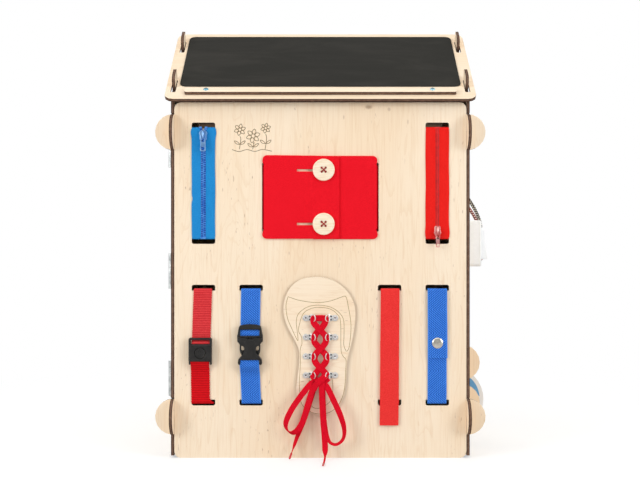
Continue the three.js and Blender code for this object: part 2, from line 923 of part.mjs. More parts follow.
function studCap() {
  const back = liftedY - strapThickness / 2 - fitGap;
  const profile = [new THREE.Vector2(0, 0), new THREE.Vector2(studR, 0), new THREE.Vector2(studR, studRim)];
  for (let i = 1; i <= cornerSteps; i++) {
    const angle = (i / cornerSteps) * (Math.PI / 2);
    profile.push(new THREE.Vector2(studR * Math.cos(angle), studRim + (studDome - studRim) * Math.sin(angle)));
  }
  profile[profile.length - 1].x = 0;
  return new THREE.LatheGeometry(profile, roundSteps).rotateX(Math.PI).translate(outerColumn, back, studZ);
}

// Centre-push buckle

const buckleBack = strapFront - fitGap;
const pushFront = buckleBack - pushThickness;
const pushBodyBottom = pushBottom + pushArmReach;
const pushBodyTop = pushBodyBottom + pushBodyLength;
const pushFrameBottom = pushBodyTop + pushFrameGap;
const pushTop = pushFrameBottom + pushFrameLength;
const pushCavityY = buckleBack - pushThickness / 2 + pushCavityHeight / 2;
const pushButtonZ = (pushBodyBottom + pushBodyTop) / 2;

function pushBuckleBody() {
  const left = -pushWidth / 2;
  const main = roundedRect(left, pushBodyBottom, pushWidth, pushBodyTop - pushBodyBottom, pushCornerR);
  const body = frontSlab(main, pushThickness, pushFront);
  const arms = [left, -left - pushArmWidth].map((x) => {
    const height = pushBodyBottom + pushCornerR * 2 - pushBottom;
    const arm = roundedRect(x, pushBottom, pushArmWidth, height, pushArmWidth / 2.5);
    return frontSlab(arm, pushFrameThickness, buckleBack - pushFrameThickness);
  });
  const half = pushCavityWidth / 2;
  const cavity = block(
    [-half, half],
    [pushCavityY - pushCavityHeight, pushCavityY],
    [pushBodyTop - pushCavityDepth, pushBodyTop + overrun],
  );
  const bore = rodAlongY(pushButtonR + fitGap, [pushFront - overrun, pushCavityY - pushCavityHeight / 2], 0, pushButtonZ);
  return cut(join(body, ...arms), cavity, bore).translate(pushX, 0, 0);
}

function pushBuckleFrame() {
  const left = -pushWidth / 2;
  const shape = roundedRect(left, pushFrameBottom, pushWidth, pushTop - pushFrameBottom, pushCornerR);
  const windowLeft = -pushWindowWidth / 2;
  const windowBottom = pushTop - pushBarHeight - pushWindowHeight;
  const tongueHalf = pushCavityWidth / 2 - fitGap;
  const frame = frontSlab(shape, pushFrameThickness * 1.4, pushCavityY - pushCavityHeight - fitGap);
  const tongue = block(
    [-tongueHalf, tongueHalf],
    [pushCavityY - pushCavityHeight + fitGap, pushCavityY - fitGap],
    [pushBodyTop - pushCavityDepth + fitGap, pushFrameBottom + pushCornerR / 2],
  );
  const opening = block(
    [windowLeft, -windowLeft],
    [pushFront - overrun, buckleBack + overrun],
    [windowBottom + pushCornerR / 2, windowBottom + pushWindowHeight],
  );
  return cut(join(frame, tongue), opening).translate(pushX, 0, 0);
}

function pushBuckleButton() {
  const front = pushFront - pushButtonProud;
  return rodAlongY(pushButtonR, [front, front + pushButtonThickness], pushX, pushButtonZ);
}

// Side-release buckle

const clipFront = buckleBack - clipThickness;
const clipSplit = clipBottom + clipBodyLength; // where the plug meets the body
const clipTop = clipSplit + clipPlugLength;
const clipCavityHalf = clipBodyHalf - clipWall;
const clipCavityY = buckleBack - (clipThickness - clipCavityHeight) / 2;
const prongBack = clipCavityY - fitGap;
const prongDepth = clipCavityHeight - 2 * fitGap;
const prongRootZ = clipSplit - fitGap;

function clipBuckleBody() {
  const right = clipBodyShares.map(([half, up]) => [half * clipBodyHalf, clipBottom + up * clipBodyLength]);
  const left = right.map(([x, z]) => [-x, z]).reverse();
  const body = frontSlab(polygon([...right, ...left]), clipThickness, clipFront);
  const cavity = block(
    [-clipCavityHalf, clipCavityHalf],
    [clipCavityY - clipCavityHeight, clipCavityY],
    [clipSplit - clipCavityDepth, clipSplit + overrun],
  );
  const half = clipLoopWindowWidth / 2;
  const windowBottom = clipBottom + clipLoopBar;
  const strapWindow = block(
    [-half, half],
    [clipFront - overrun, buckleBack + overrun],
    [windowBottom, windowBottom + clipLoopWindowHeight],
  );
  return cut(body, cavity, strapWindow).translate(clipX, 0, 0);
}

function clipBucklePlug() {
  const bottom = clipSplit + fitGap;
  const sideTop = clipTop - clipArchRise;
  const right = [
    [clipShoulderHalf - clipShoulderRise / 2, bottom],
    [clipShoulderHalf, bottom + clipShoulderRise / 2],
    [clipPlugHalf, bottom + clipShoulderRise * 1.6],
    [clipPlugHalf, sideTop - clipShoulderRise],
    [clipPlugHalf - clipShoulderRise / 2, sideTop],
    [clipPlugHalf / 2, clipTop - clipArchRise / 4],
    [0, clipTop],
  ];
  const left = right
    .slice(0, -1)
    .map(([x, z]) => [-x, z])
    .reverse();
  const frontY = clipFront + (clipThickness - clipPlugThickness) / 2;
  const frame = frontSlab(polygon([...right, ...left]), clipPlugThickness, frontY);
  const guideHalf = clipGuideWidth / 2;
  const guide = block(
    [-guideHalf, guideHalf],
    [prongBack - prongDepth, prongBack],
    [clipSplit - clipGuideLength, bottom + clipShoulderRise / 2],
  );
  const half = clipPlugWindowWidth / 2;
  const windowTop = sideTop - clipPlugBar;
  const opening = block(
    [-half, half],
    [clipFront - overrun, buckleBack + overrun],
    [windowTop - clipPlugWindowHeight, windowTop],
  );
  return cut(join(frame, guide), opening).translate(clipX, 0, 0);
}

function clipProng(side) {
  const inner = prongRootX - prongWidth / 2;
  const outer = prongRootX + prongWidth / 2;
  const prongEnd = clipSplit - prongLength;
  const [barbBottom, barbTop] = prongBarbShares.map((share) => clipBottom + share * clipBodyLength);
  const points = [
    [inner, prongRootZ],
    [inner, prongEnd + prongWidth],
    [outer - prongWidth / 2, prongEnd],
    [outer, prongEnd],
    [outer + prongBarb / 2, barbBottom],
    [outer + prongBarb, barbBottom + prongBarb],
    [outer + prongBarb, barbTop],
    [outer, barbTop + fitGap],
    [outer, prongRootZ],
  ].map(([x, z]) => [side * x, z]);
  return frontSlab(polygon(points), prongDepth, prongBack - prongDepth).translate(clipX, 0, 0);
}

// Shoe, lace rings and lace

function shoePlate() {
  const corners = shoeShares.map(
    ([x, z]) => new THREE.Vector3(shoeX + x * shoeHalfWidth, shoeBottom + z * shoeHeight, 0),
  );
  const outline = new THREE.CatmullRomCurve3(corners, true).getSpacedPoints(shoeSteps).slice(0, -1);
  const shape = new THREE.Shape(outline.map(({ x, y }) => new THREE.Vector2(x, y)));
  return frontSlab(shape, shoeThickness, -fitGap - shoeThickness);
}

const ringBack = -2 * fitGap - shoeThickness;
const ringWireY = ringBack - ringSleeveR;
const ringFront = ringBack - 2 * ringSleeveR;

function laceRing(side, z) {
  const half = ringTabHeight / 2;
  const round = arc(ringRivetX, 0, half, -Math.PI / 2, Math.PI / 2, cornerSteps * 2);
  const shape = polygon([[ringTabEnd, -half], ...round, [ringTabEnd, half]]);
  const tab = frontSlab(shape, ringTabThickness, ringBack - ringTabThickness);
  const sleeveHalf = ringSleeveLength / 2;
  const sleeve = rodAlongZ(ringSleeveR, [-sleeveHalf, sleeveHalf], ringSleeveX, ringWireY, 8);
  const rivetFront = ringBack - ringTabThickness - ringRivetHead;
  const rivet = rodAlongY(ringRivetR, [rivetFront, ringBack - ringTabThickness / 2], ringRivetX, 0, 10);
  const bow = new THREE.CatmullRomCurve3([
    new THREE.Vector3(ringSleeveX, ringWireY, -ringBowHalf),
    new THREE.Vector3(ringSleeveX - ringBow * 0.7, ringWireY, -ringBowHalf * 0.8),
    new THREE.Vector3(ringSleeveX - ringBow, ringWireY, 0),
    new THREE.Vector3(ringSleeveX - ringBow * 0.7, ringWireY, ringBowHalf * 0.8),
    new THREE.Vector3(ringSleeveX, ringWireY, ringBowHalf),
  ]);
  const wire = tube(bow, ringWireR, wireSides, wireSteps);
  const ring = join(tab, sleeve, rivet, wire);
  return (side > 0 ? ring : mirrored(ring)).translate(ringMiddleX, 0, z);
}

// A round section swept along a curve.
function tube(curve, radius, sides, steps) {
  const section = circle(0, 0, radius, THREE.Shape, sides);
  return new THREE.ExtrudeGeometry(section, { extrudePath: curve, steps, bevelEnabled: false });
}

// The same geometry on the other side of X = 0, with its faces still pointing out.
function mirrored(geometry) {
  const copy = geometry.clone().scale(-1, 1, 1);
  const index = copy.index.array;
  for (let i = 0; i < index.length; i += 3) {
    [index[i + 1], index[i + 2]] = [index[i + 2], index[i + 1]];
  }
  return copy;
}

// The lace as the rings hold it: a bar across the top ring pair, a cross between each two rows, and the knot.
function laceHeld() {
  const lowY = ringFront - fitGap - laceThickness / 2;
  const highY = lowY - laceThickness * 0.8;
  const reach = laceHalfSpread;
  const rows = [...ringRows].reverse();
  const pieces = [
    block(
      [-reach, reach],
      [lowY - laceThickness / 2, lowY + laceThickness / 2],
      [rows[0] - laceWidth / 2 + laceEndInset, rows[0] + laceWidth / 2 - laceEndInset],
    ),
  ];
  rows.forEach((z, i) => {
    const last = i === rows.length - 1;
    const nextZ = last ? knotZ : rows[i + 1];
    const nextX = last ? knotWidth / 3 : reach;
    for (const side of [-1, 1]) {
      const y = side < 0 ? lowY : highY;
      pieces.push(
        ribbon(
          [
            [side * reach, y, z + laceEndInset],
            [-side * nextX, y, nextZ - laceEndInset],
          ],
          laceWidth,
          laceThickness,
        ),
      );
    }
  });
  const half = knotWidth / 2;
  const knotBack = lowY + laceThickness / 2;
  pieces.push(block([-half, half], [knotBack - knotThickness, knotBack], [knotZ - knotHeight / 2, knotZ + knotHeight / 2]));
  return join(...pieces).translate(ringMiddleX, 0, 0);
}

function laceEnd(route) {
  return ribbon(route, laceWidth, laceThickness);
}

// Doors and hinges of the left wall

const hingeAxisX = -wallOuter - fitGap - hingeKnuckleR;
const doorFront = hingeAxisY + doorFrontGap;

function doorShape(bottom, top, width, margin = 0) {
  return roundedRect(
    doorFront - margin,
    bottom - margin,
    width + 2 * margin,
    top - bottom + 2 * margin,
    doorCornerR + margin,
  );
}

function door(bottom, top, width) {
  const shape = doorShape(bottom, top, width);
  shape.holes.push(circle(doorFront + width - fingerHoleInset, (bottom + top) / 2, fingerHoleR, THREE.Path));
  return sideSlab(shape, ply, -wallOuter);
}

function doorOpening(bottom, top, width) {
  return sideSlab(doorShape(bottom, top, width, doorGap), ply + 2 * overrun, -wallOuter - overrun);
}

// One leaf with every other knuckle. The wall's leaf also carries the pin.
function hingeLeafSolid(middleZ, towardsDoor) {
  const way = towardsDoor ? 1 : -1;
  const low = middleZ - hingeLength / 2;
  const step = hingeLength / hingeKnuckles;
  const wallFace = -wallOuter - fitGap;
  const plateX = [wallFace - hingeLeaf, wallFace];
  const far = hingeAxisY + way * (hingeLeafWidth + (towardsDoor ? hingeLeafStart : 0));
  const near = hingeAxisY + way * hingeLeafStart;
  const span = (a, b) => [Math.min(a, b), Math.max(a, b)];
  const pieces = [block(plateX, span(near, far), [low, low + hingeLength])];
  for (let i = towardsDoor ? 1 : 0; i < hingeKnuckles; i += 2) {
    const reach = [low + i * step + fitGap / 2, low + (i + 1) * step - fitGap / 2];
    pieces.push(block(plateX, span(hingeAxisY, near + way * overrun), reach));
    pieces.push(rodAlongZ(hingeKnuckleR, reach, hingeAxisX, hingeAxisY, 14));
  }
  const pinSpan = [low + fitGap / 2, low + hingeLength - fitGap / 2];
  if (towardsDoor) {
    const bore = rodAlongZ(hingeBoreR, [low - overrun, low + hingeLength + overrun], hingeAxisX, hingeAxisY, 12);
    return cut(join(...pieces), bore);
  }
  return join(...pieces, rodAlongZ(hingePinR, pinSpan, hingeAxisX, hingeAxisY, 12));
}

// Right wall: switch, picture wheel and brackets, cord

const rockerWidth = switchSize - 2 * rockerSideInset;
const rockerHeight = switchSize - 2 * rockerEndInset;
const switchFace = wallOuter + fitGap + switchDepth;
const rockerPivotX = switchFace - rockerPivotDepth;

function switchBox() {
  const half = switchSize / 2;
  const back = wallOuter + fitGap;
  const profile = polygon([
    [back, -half],
    [switchFace - switchBevel, -half],
    [switchFace, -half + switchBevel],
    [switchFace, half - switchBevel],
    [switchFace - switchBevel, half],
    [back, half],
  ]);
  const box = frontSlab(profile, switchSize, switchY - half).translate(0, 0, switchZ);
  const wellHalfY = rockerWidth / 2 + fitGap;
  const wellHalfZ = rockerHeight / 2 + rockerPlay;
  const well = block(
    [switchFace - rockerWellDepth - rockerPlay, switchFace + overrun],
    [switchY - wellHalfY, switchY + wellHalfY],
    [switchZ - wellHalfZ, switchZ + wellHalfZ],
  );
  return cut(box, well);
}

function switchRocker() {
  const half = rockerHeight / 2;
  const face = rockerPivotDepth + rockerProud;
  const keel = face - rockerThickness;
  const profile = polygon([
    [keel, -half],
    [face, -half],
    [face, half],
    [keel, half],
  ]);
  return frontSlab(profile, rockerWidth, switchY - rockerWidth / 2)
    .translate(0, -switchY, 0)
    .rotateY(-rockerTilt)
    .translate(rockerPivotX, switchY, switchZ);
}

const wheelX = wallOuter - wheelInset;
const bracketEarX = wallOuter - bracketEarR + bracketEarReach;

function pictureWheel() {
  const half = wheelThickness / 2;
  const disc = rodAlongY(wheelR, [wheelY - half, wheelY + half], wheelX, wheelZ, roundSteps * 2);
  const axle = rodAlongY(axleR, [wheelY - axleLength / 2, wheelY + axleLength / 2], wheelX, wheelZ);
  return join(disc, axle);
}

// Half the height of a bracket ear where it leaves the bracket's plate, just inside the wall.
const bracketEarHalf = Math.sqrt(bracketEarR ** 2 - (bracketEarX - panelHalf) ** 2);

function wheelBracket(middleY) {
  const startAngle = Math.PI - Math.acos((bracketEarX - panelHalf) / bracketEarR);
  const right = [];
  for (const height of bracketEarHeights) {
    right.push(...arc(bracketEarX, height, bracketEarR, -startAngle, startAngle, arcSteps));
  }
  const low = bracketEarHeights[0] - bracketEarHalf - bracketMargin;
  const high = bracketEarHeights[1] + bracketEarHalf + bracketMargin;
  const inner = wallInner - bracketInside;
  const shape = polygon([[inner, low], [panelHalf, low], ...right, [panelHalf, high], [inner, high]]);
  shape.holes.push(circle(wheelX, wheelZ, axleBoreR, THREE.Path));
  return frontSlab(shape, ply, middleY - ply / 2);
}

const bracketPlaces = [wheelY - bracketSpread, wheelY + bracketSpread];
const throughWall = [wallInner - overrun, wallOuter + overrun];

function rightWallOpenings() {
  const halfPly = ply / 2 + fitGap;
  const earSlots = bracketPlaces.flatMap((y) =>
    bracketEarHeights.map((z) => {
      const half = bracketEarR + fitGap;
      return block(throughWall, [y - halfPly, y + halfPly], [z - half, z + half]);
    }),
  );
  const half = wheelThickness / 2 + wheelPlay;
  const wheelSlot = block(
    throughWall,
    [wheelY - half, wheelY + half],
    [wheelZ - wheelR - wheelPlay, wheelZ + wheelR + wheelPlay],
  );
  const cordHoles = [cordRoute[0], cordRoute[cordRoute.length - 1]].map(([, y, z]) =>
    rodAlongX(cordHoleR, ply + 2 * overrun, y, z, 12).translate(wallOuter - ply / 2, 0, 0),
  );
  return [...earSlots, wheelSlot, ...cordHoles];
}

function pullCord() {
  const curve = new THREE.CatmullRomCurve3(cordRoute.map(([x, y, z]) => new THREE.Vector3(x, y, z)));
  return tube(curve, cordR, cordSides, (cordRoute.length - 1) * cordStepsPerPoint);
}

// The house as a scene

const house = new THREE.Group();

function add(name, geometry, look, parent = house) {
  const mesh = new THREE.Mesh(geometry, look);
  mesh.name = name;
  parent.add(mesh);
  return mesh;
}

function roofSide() {
  const turned = new THREE.Group();
  const slope = new THREE.Group();
  slope.rotation.x = roofPitch;
  slope.position.set(0, -houseDepth / 2 - eaveReach, eaveZ);
  turned.position.set(0, houseDepth / 2, 0);
  turned.add(slope);
  house.add(turned);
  return { turned, slope };
}

add("front_panel", endPanel(0, frontHoles()), birch);
add("back_panel", endPanel(backFace - ply, []), birch);
add(
  "left_wall",
  sideWall(
    -wallOuter,
    doorOpening(upperDoorBottom, upperDoorTop, upperDoorWidth),
    doorOpening(lowerDoorBottom, lowerDoorTop, lowerDoorWidth),
  ),
  birch,
);
add("right_wall", sideWall(wallInner, ...rightWallOpenings()), birch);

const frontRoof = roofSide();
add("front_roof", roofPanel(), birch, frontRoof.slope);
add("blackboard", blackboardSheet(), blackboard, frontRoof.slope);
add("chalk_rail", chalkRail(), birchDark, frontRoof.slope);
const backRoof = roofSide();
backRoof.turned.rotation.z = Math.PI;
add("back_roof", roofPanel(), birch, backRoof.slope);

for (const [colour, x, z, lead, tape, metal] of [
  ["blue", -outerColumn, sliderRestBlue, 1, blueTape, bluePaint],
  ["red", outerColumn, sliderRestRed, -1, redTape, redPaint],
]) {
  add(`${colour}_zip_tape`, zipTape(x), tape);
  add(`${colour}_zip_slider`, zipSlider(x, z, lead), metal);
  add(`${colour}_zip_pull`, zipPull(x, z), metal);
}

add("felt_top_flap", topFlap(), redFelt);
add("felt_under_flap", underFlap(), redFelt);
add("felt_button_upper", feltButton(1), birchDark);
add("felt_button_lower", feltButton(-1), birchDark);

add("ribbed_strap_upper", upperStrap(-outerColumn, pushTop - pushBarHeight - pushWindowHeight), redWebbing);
add("ribbed_strap_lower", lowerStrap(-outerColumn, pushBodyBottom + pushCornerR), redWebbing);
add("push_buckle_frame", pushBuckleFrame(), blackPlastic);
add("push_buckle_body", pushBuckleBody(), blackPlastic);
add("push_buckle_button", pushBuckleButton(), blackPlastic);

add("clip_strap_upper", upperStrap(-innerColumn, clipSplit + clipShoulderRise), blueWebbing);
add("clip_strap_lower", lowerStrap(-innerColumn, clipBottom + clipLoopBar + clipLoopWindowHeight), blueWebbing);
add("clip_buckle_plug", clipBucklePlug(), blackPlastic);
add("clip_buckle_body", clipBuckleBody(), blackPlastic);
add("clip_prong_left", clipProng(-1), blackPlastic);
add("clip_prong_right", clipProng(1), blackPlastic);

add("hook_loop_strap_upper", liftingStrap(innerColumn, hookLoopEnd), redTape);
add("hook_loop_strap_lower", lowerStrap(innerColumn, hookLoopUnderEnd), redTape);
add("stud_strap_upper", liftingStrap(outerColumn, studStrapEnd), blueWebbing);
add("stud_strap_lower", lowerStrap(outerColumn, studUnderEnd), blueWebbing);
add("stud_cap", studCap(), nickel);

add("shoe_plate", shoePlate(), birch);
ringRows.forEach((z, row) => {
  add(`lace_ring_left_${row + 1}`, laceRing(-1, z), zinc);
  add(`lace_ring_right_${row + 1}`, laceRing(1, z), zinc);
});
add("lace_crossings", laceHeld(), redLace);
add("lace_end_left", laceEnd(laceLeftRoute), redLace);
add("lace_end_right", laceEnd(laceRightRoute), redLace);

add("upper_door", door(upperDoorBottom, upperDoorTop, upperDoorWidth), birch);
add("lower_door", door(lowerDoorBottom, lowerDoorTop, lowerDoorWidth), birch);
const hingeHeights = {
  upper: upperDoorTop - hingeInset,
  middle: upperDoorBottom + hingeInset,
  lower: (lowerDoorBottom + lowerDoorTop) / 2,
};
for (const [place, z] of Object.entries(hingeHeights)) {
  add(`${place}_hinge_wall_leaf`, hingeLeafSolid(z, false), zinc);
  add(`${place}_hinge_door_leaf`, hingeLeafSolid(z, true), zinc);
}

add("switch_box", switchBox(), whitePlastic);
add("switch_rocker", switchRocker(), whitePlastic);
add("picture_wheel", pictureWheel(), whiteLaminate);
add("wheel_bracket_front", wheelBracket(bracketPlaces[0]), birch);
add("wheel_bracket_rear", wheelBracket(bracketPlaces[1]), birch);
add("pull_cord", pullCord(), braid);

// The origin is on the floor, in the middle of everything but the free cords.
const cords = ["lace_end_left", "lace_end_right", "pull_cord"];
const extent = new THREE.Box3();
house.updateMatrixWorld(true);
house.traverse((piece) => {
  if (piece.isMesh && !cords.includes(piece.name)) extent.expandByObject(piece);
});
const middle = extent.getCenter(new THREE.Vector3());
house.position.set(-middle.x, -middle.y, -extent.min.z);

export default house;
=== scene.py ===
import math

import bmesh
import bpy
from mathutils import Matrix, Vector


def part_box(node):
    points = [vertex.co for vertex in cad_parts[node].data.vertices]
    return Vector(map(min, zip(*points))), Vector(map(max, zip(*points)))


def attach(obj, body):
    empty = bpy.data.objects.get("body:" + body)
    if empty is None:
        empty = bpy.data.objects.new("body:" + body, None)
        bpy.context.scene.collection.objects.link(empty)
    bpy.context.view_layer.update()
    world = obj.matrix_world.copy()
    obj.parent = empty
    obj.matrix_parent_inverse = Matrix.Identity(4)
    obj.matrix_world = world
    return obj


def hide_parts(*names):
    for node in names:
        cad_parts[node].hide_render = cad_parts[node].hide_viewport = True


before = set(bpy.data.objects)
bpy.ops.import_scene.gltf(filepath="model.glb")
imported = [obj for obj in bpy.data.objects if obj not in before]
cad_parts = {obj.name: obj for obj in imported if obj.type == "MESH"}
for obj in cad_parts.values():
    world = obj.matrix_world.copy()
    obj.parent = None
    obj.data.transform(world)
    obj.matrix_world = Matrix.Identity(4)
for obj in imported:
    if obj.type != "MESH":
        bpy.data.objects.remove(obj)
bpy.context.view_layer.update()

# House millimetres: X from the middle of the front panel, Y back from its face, Z up from the floor.
mm = 0.001
weldReach = 0.000002  # metres: points nearer than this are one
middleX = (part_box("left_wall")[0].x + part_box("right_wall")[1].x) / 2
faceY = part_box("front_panel")[0].y


def place(point):
    x, y, z = point
    return Vector((middleX + x * mm, faceY + y * mm, z * mm))


wayX, wayY, wayZ = (1, 0, 0), (0, 1, 0), (0, 0, 1)

# Camera

view = {"distance": 1366, "side": -0.45, "height": 266, "lens": 60.03, "sensor": 36}

cameraData = bpy.data.cameras.new("camera")
cameraData.lens = view["lens"]
cameraData.sensor_width = view["sensor"]
camera = bpy.data.objects.new("camera", cameraData)
camera.location = place((view["side"], -view["distance"], view["height"]))
camera.rotation_euler = (math.pi / 2, 0, 0)
bpy.context.scene.collection.objects.link(camera)
bpy.context.scene.camera = camera


# Shading


def paint(red, green, blue):  # a colour as it is seen, 0 to 255
    def straight(part):
        share = part / 255
        return share / 12.92 if share <= 0.04045 else ((share + 0.055) / 1.055) ** 2.4

    return (straight(red), straight(green), straight(blue), 1)


class Value:  # one socket of a look's nodes
    def __init__(self, look, socket):
        self.look = look
        self.socket = socket

    def maths(self, operation, *values):
        return self.look.node("Math", {"operation": operation}, values)

    def __add__(self, other):
        return self.maths("ADD", self, other)

    def __sub__(self, other):
        return self.maths("SUBTRACT", self, other)

    def __rsub__(self, other):
        return self.maths("SUBTRACT", other, self)

    def __mul__(self, other):
        return self.maths("MULTIPLY", self, other)

    __radd__ = __add__
    __rmul__ = __mul__

    def wave(self, pitch):  # 0 to 1 and back, once a pitch
        return self.maths("SINE", self * (2 * math.pi / pitch)) * 0.5 + 0.5

    def size(self):  # without its sign
        return self.maths("ABSOLUTE", self)

    def most(self, other):
        return self.maths("MAXIMUM", self, other)

    def from0to1(self, low, high):  # a smooth step between two values
        settings = {"interpolation_type": "SMOOTHSTEP"}
        return self.look.node("MapRange", settings, (self, low, high, 0, 1))


class Look:  # a material, or the world, and its nodes
    def __init__(self, name, world=None):
        self.material = world or bpy.data.materials.new(name)
        self.material.use_nodes = True
        self.tree = self.material.node_tree
        self.tree.nodes.clear()

    def node(self, kind, settings=None, sockets=(), output=0):
        made = self.tree.nodes.new("ShaderNode" + kind)
        for key, value in (settings or {}).items():
            setattr(made, key, value)
        pairs = sockets.items() if isinstance(sockets, dict) else enumerate(sockets)
        for key, value in pairs:
            if isinstance(value, Value):
                self.tree.links.new(value.socket, made.inputs[key])
            else:
                made.inputs[key].default_value = value
        return Value(self, made.outputs[output]) if made.outputs else None

    def mix(self, share, low, high):
        return self.node("Mix", {"data_type": "RGBA"}, {0: share, 6: low, 7: high}, 2)

    def vector(self, operation, first, second, output=0):
        return self.node("VectorMath", {"operation": operation}, (first, second), output)

    def point(self):
        return self.node("TexCoord", output="Object")

    def ribbonWays(self):  # how far along a ribbon, and across it, in millimetres
        trace = self.node("Attribute", {"attribute_name": "weave"}, output="Vector")
        return self.along(wayY, trace), self.along(wayX, trace)

    def along(self, direction, point=None):
        return self.vector("DOT_PRODUCT", point or self.point(), direction, output=1)

    def noise(self, stretch, detail=2, roughness=0.5, distortion=0, point=None):  # stretch: spots a metre
        stretch = stretch if isinstance(stretch, tuple) else (stretch, stretch, stretch)
        sockets = {"Vector": self.vector("MULTIPLY", point or self.point(), stretch), "Scale": 1, "Detail": detail}
        return self.node("TexNoise", {}, {**sockets, "Roughness": roughness, "Distortion": distortion})

    def finish(self, colour, roughness, height=None, depth=0.0005, strength=0.5, **rest):
        # rest holds the shader's other inputs, such as coatWeight for Coat Weight.
        sockets = {"Base Color": colour, "Roughness": roughness}
        if height is not None:
            bump = {"Strength": strength, "Distance": depth, "Height": height}
            sockets["Normal"] = self.node("Bump", {}, bump)
        for key, value in rest.items():
            name = key[0].upper() + "".join(" " + c if c.isupper() else c for c in key[1:])
            sockets[name.replace("Ior", "IOR")] = value
        shader = self.node("BsdfPrincipled", {}, sockets)
        self.node("OutputMaterial", {}, {"Surface": shader})
        return self.material


# Shapes: lists of points in house millimetres, and faces. A ribbon also has its trace: across and along it.


def within(share):  # kept from 0 to 1
    return min(1, max(0, share))


def eased01(share):
    return share * share * (3 - 2 * share)


def beside(line, i):  # the points before and after one
    return line[max(i - 1, 0)], line[min(i + 1, len(line) - 1)]


def sideways(before, after):  # a unit step square to the way between two flat points
    reach = math.hypot(after[0] - before[0], after[1] - before[1])
    return (after[1] - before[1]) / reach, -(after[0] - before[0]) / reach


def onSide(side, line):  # an outline drawn on the right, or its mirror image on the left
    return [(side * x, z) for x, z in line]


def skin(rings, closed=True, capped=True):
    points = [point for ring in rings for point in ring]
    count = len(rings[0])
    faces = []
    for i in range(len(rings) - 1):
        for j in range(count if closed else count - 1):
            k = (j + 1) % count
            faces.append((i * count + j, i * count + k, (i + 1) * count + k, (i + 1) * count + j))
    if capped:
        faces.append(tuple(reversed(range(count))))
        faces.append(tuple((len(rings) - 1) * count + j for j in range(count)))
    return points, faces


def moved(shape, x=0, y=0, z=0):
    return [(p[0] + x, p[1] + y, p[2] + z) for p in shape[0]], shape[1]


def together(shapes):
    points, faces, trace = [], [], []
    for shape in shapes:
        start = len(points)
        points += [tuple(p) for p in shape[0]]
        faces += [tuple(start + i for i in face) for face in shape[1]]
        trace += shape[2] if len(shape) > 2 else []
    return (points, faces, trace) if trace else (points, faces)


def curveThrough(corners, steps, closed=False):  # a smooth line through its corners, of points of any length
    count = len(corners)
    line = []
    for i in range(count if closed else count - 1):
        four = []
        for k in (i - 1, i, i + 1, i + 2):
            four.append(corners[k % count] if closed else corners[max(0, min(count - 1, k))])
        for step in range(steps):
            t = step / steps
            weights = (
                (-t + 2 * t**2 - t**3) / 2,
                (2 - 5 * t**2 + 3 * t**3) / 2,
                (t + 4 * t**2 - 3 * t**3) / 2,
                (t**3 - t**2) / 2,
            )
            line.append(tuple(sum(w * p[a] for w, p in zip(weights, four)) for a in range(len(corners[0]))))
    if not closed:
        line.append(tuple(corners[-1]))
    return line


def lengthOf(line):
    return sum((Vector(b) - Vector(a)).length for a, b in zip(line, line[1:]))


def roundedBox(left, bottom, right, top, radius, steps=6):  # a rounded rectangle's corners
    line = []
    for x, z, start in (
        (right - radius, bottom + radius, -90),
        (right - radius, top - radius, 0),
        (left + radius, top - radius, 90),
        (left + radius, bottom + radius, 180),
    ):
        for step in range(steps + 1):
            angle = math.radians(start + 90 * step / steps)
            line.append((x + radius * math.cos(angle), z + radius * math.sin(angle)))
    return line


def circle(x, z, radius, steps=24):
    turn = 2 * math.pi / steps
    return [(x + radius * math.cos(i * turn), z + radius * math.sin(i * turn)) for i in range(steps)]


def bothSides(right):  # an outline from its right half, listed upwards
    return right + [(-x, z) for x, z in reversed(right) if abs(x) > 0.001]


def wound(line, forwards):
    area = sum(a[0] * b[1] - b[0] * a[1] for a, b in zip(line, line[1:] + line[:1]))
    return line if (area > 0) == forwards else line[::-1]


def plate(outline, front, back, bevel=0.4, holes=(), steps=2):  # facing the front, with rounded edges
    curve = bpy.data.curves.new("outline", "CURVE")
    curve.dimensions = "2D"
    curve.fill_mode = "BOTH"
    curve.extrude = (back - front) / 2 - bevel
    curve.bevel_depth = bevel
    curve.bevel_resolution = steps
    curve.offset = -bevel
    for line in [wound(outline, True)] + [wound(hole, False) for hole in holes]:
        spline = curve.splines.new("POLY")
        spline.points.add(len(line) - 1)
        spline.use_cyclic_u = True
        for point, (x, z) in zip(spline.points, line):
            point.co = (x, z, 0, 1)
    holder = bpy.data.objects.new("outline", curve)
    mesh = bpy.data.meshes.new_from_object(holder)
    middle = (front + back) / 2
    points = [(v.co.x, middle - v.co.z, v.co.y) for v in mesh.vertices]
    faces = [tuple(p.vertices) for p in mesh.polygons]
    bpy.data.objects.remove(holder)
    bpy.data.curves.remove(curve)
    bpy.data.meshes.remove(mesh)
    return points, faces


def turned(profile, x, z, steps=32, capped=True):  # a turned piece on a line front to back: profile of (radius, Y)
    return skin([[(a, y, b) for a, b in circle(x, z, radius, steps)] for radius, y in profile], capped=capped)


def tube(line, radius, sides=10, flat=1):  # a round or flattened section along a line; radius may be a list
    points = [Vector(p) for p in line]
    rings = []
    side = None
    for i, point in enumerate(points):
        before, after = beside(points, i)
        along = (after - before).normalized()
        if side is None:
            side = along.cross(Vector((0, 1, 0)))
            if side.length < 0.1:
                side = along.cross(Vector((0, 0, 1)))
        side = (side - along * side.dot(along)).normalized()
        other = along.cross(side)
        wide = radius[i] if isinstance(radius, (list, tuple)) else radius
        ring = []
        for j in range(sides):
            angle = 2 * math.pi * j / sides
            ring.append(point + side * wide * math.cos(angle) + other * wide * flat * math.sin(angle))
        rings.append(ring)
    return skin(rings)


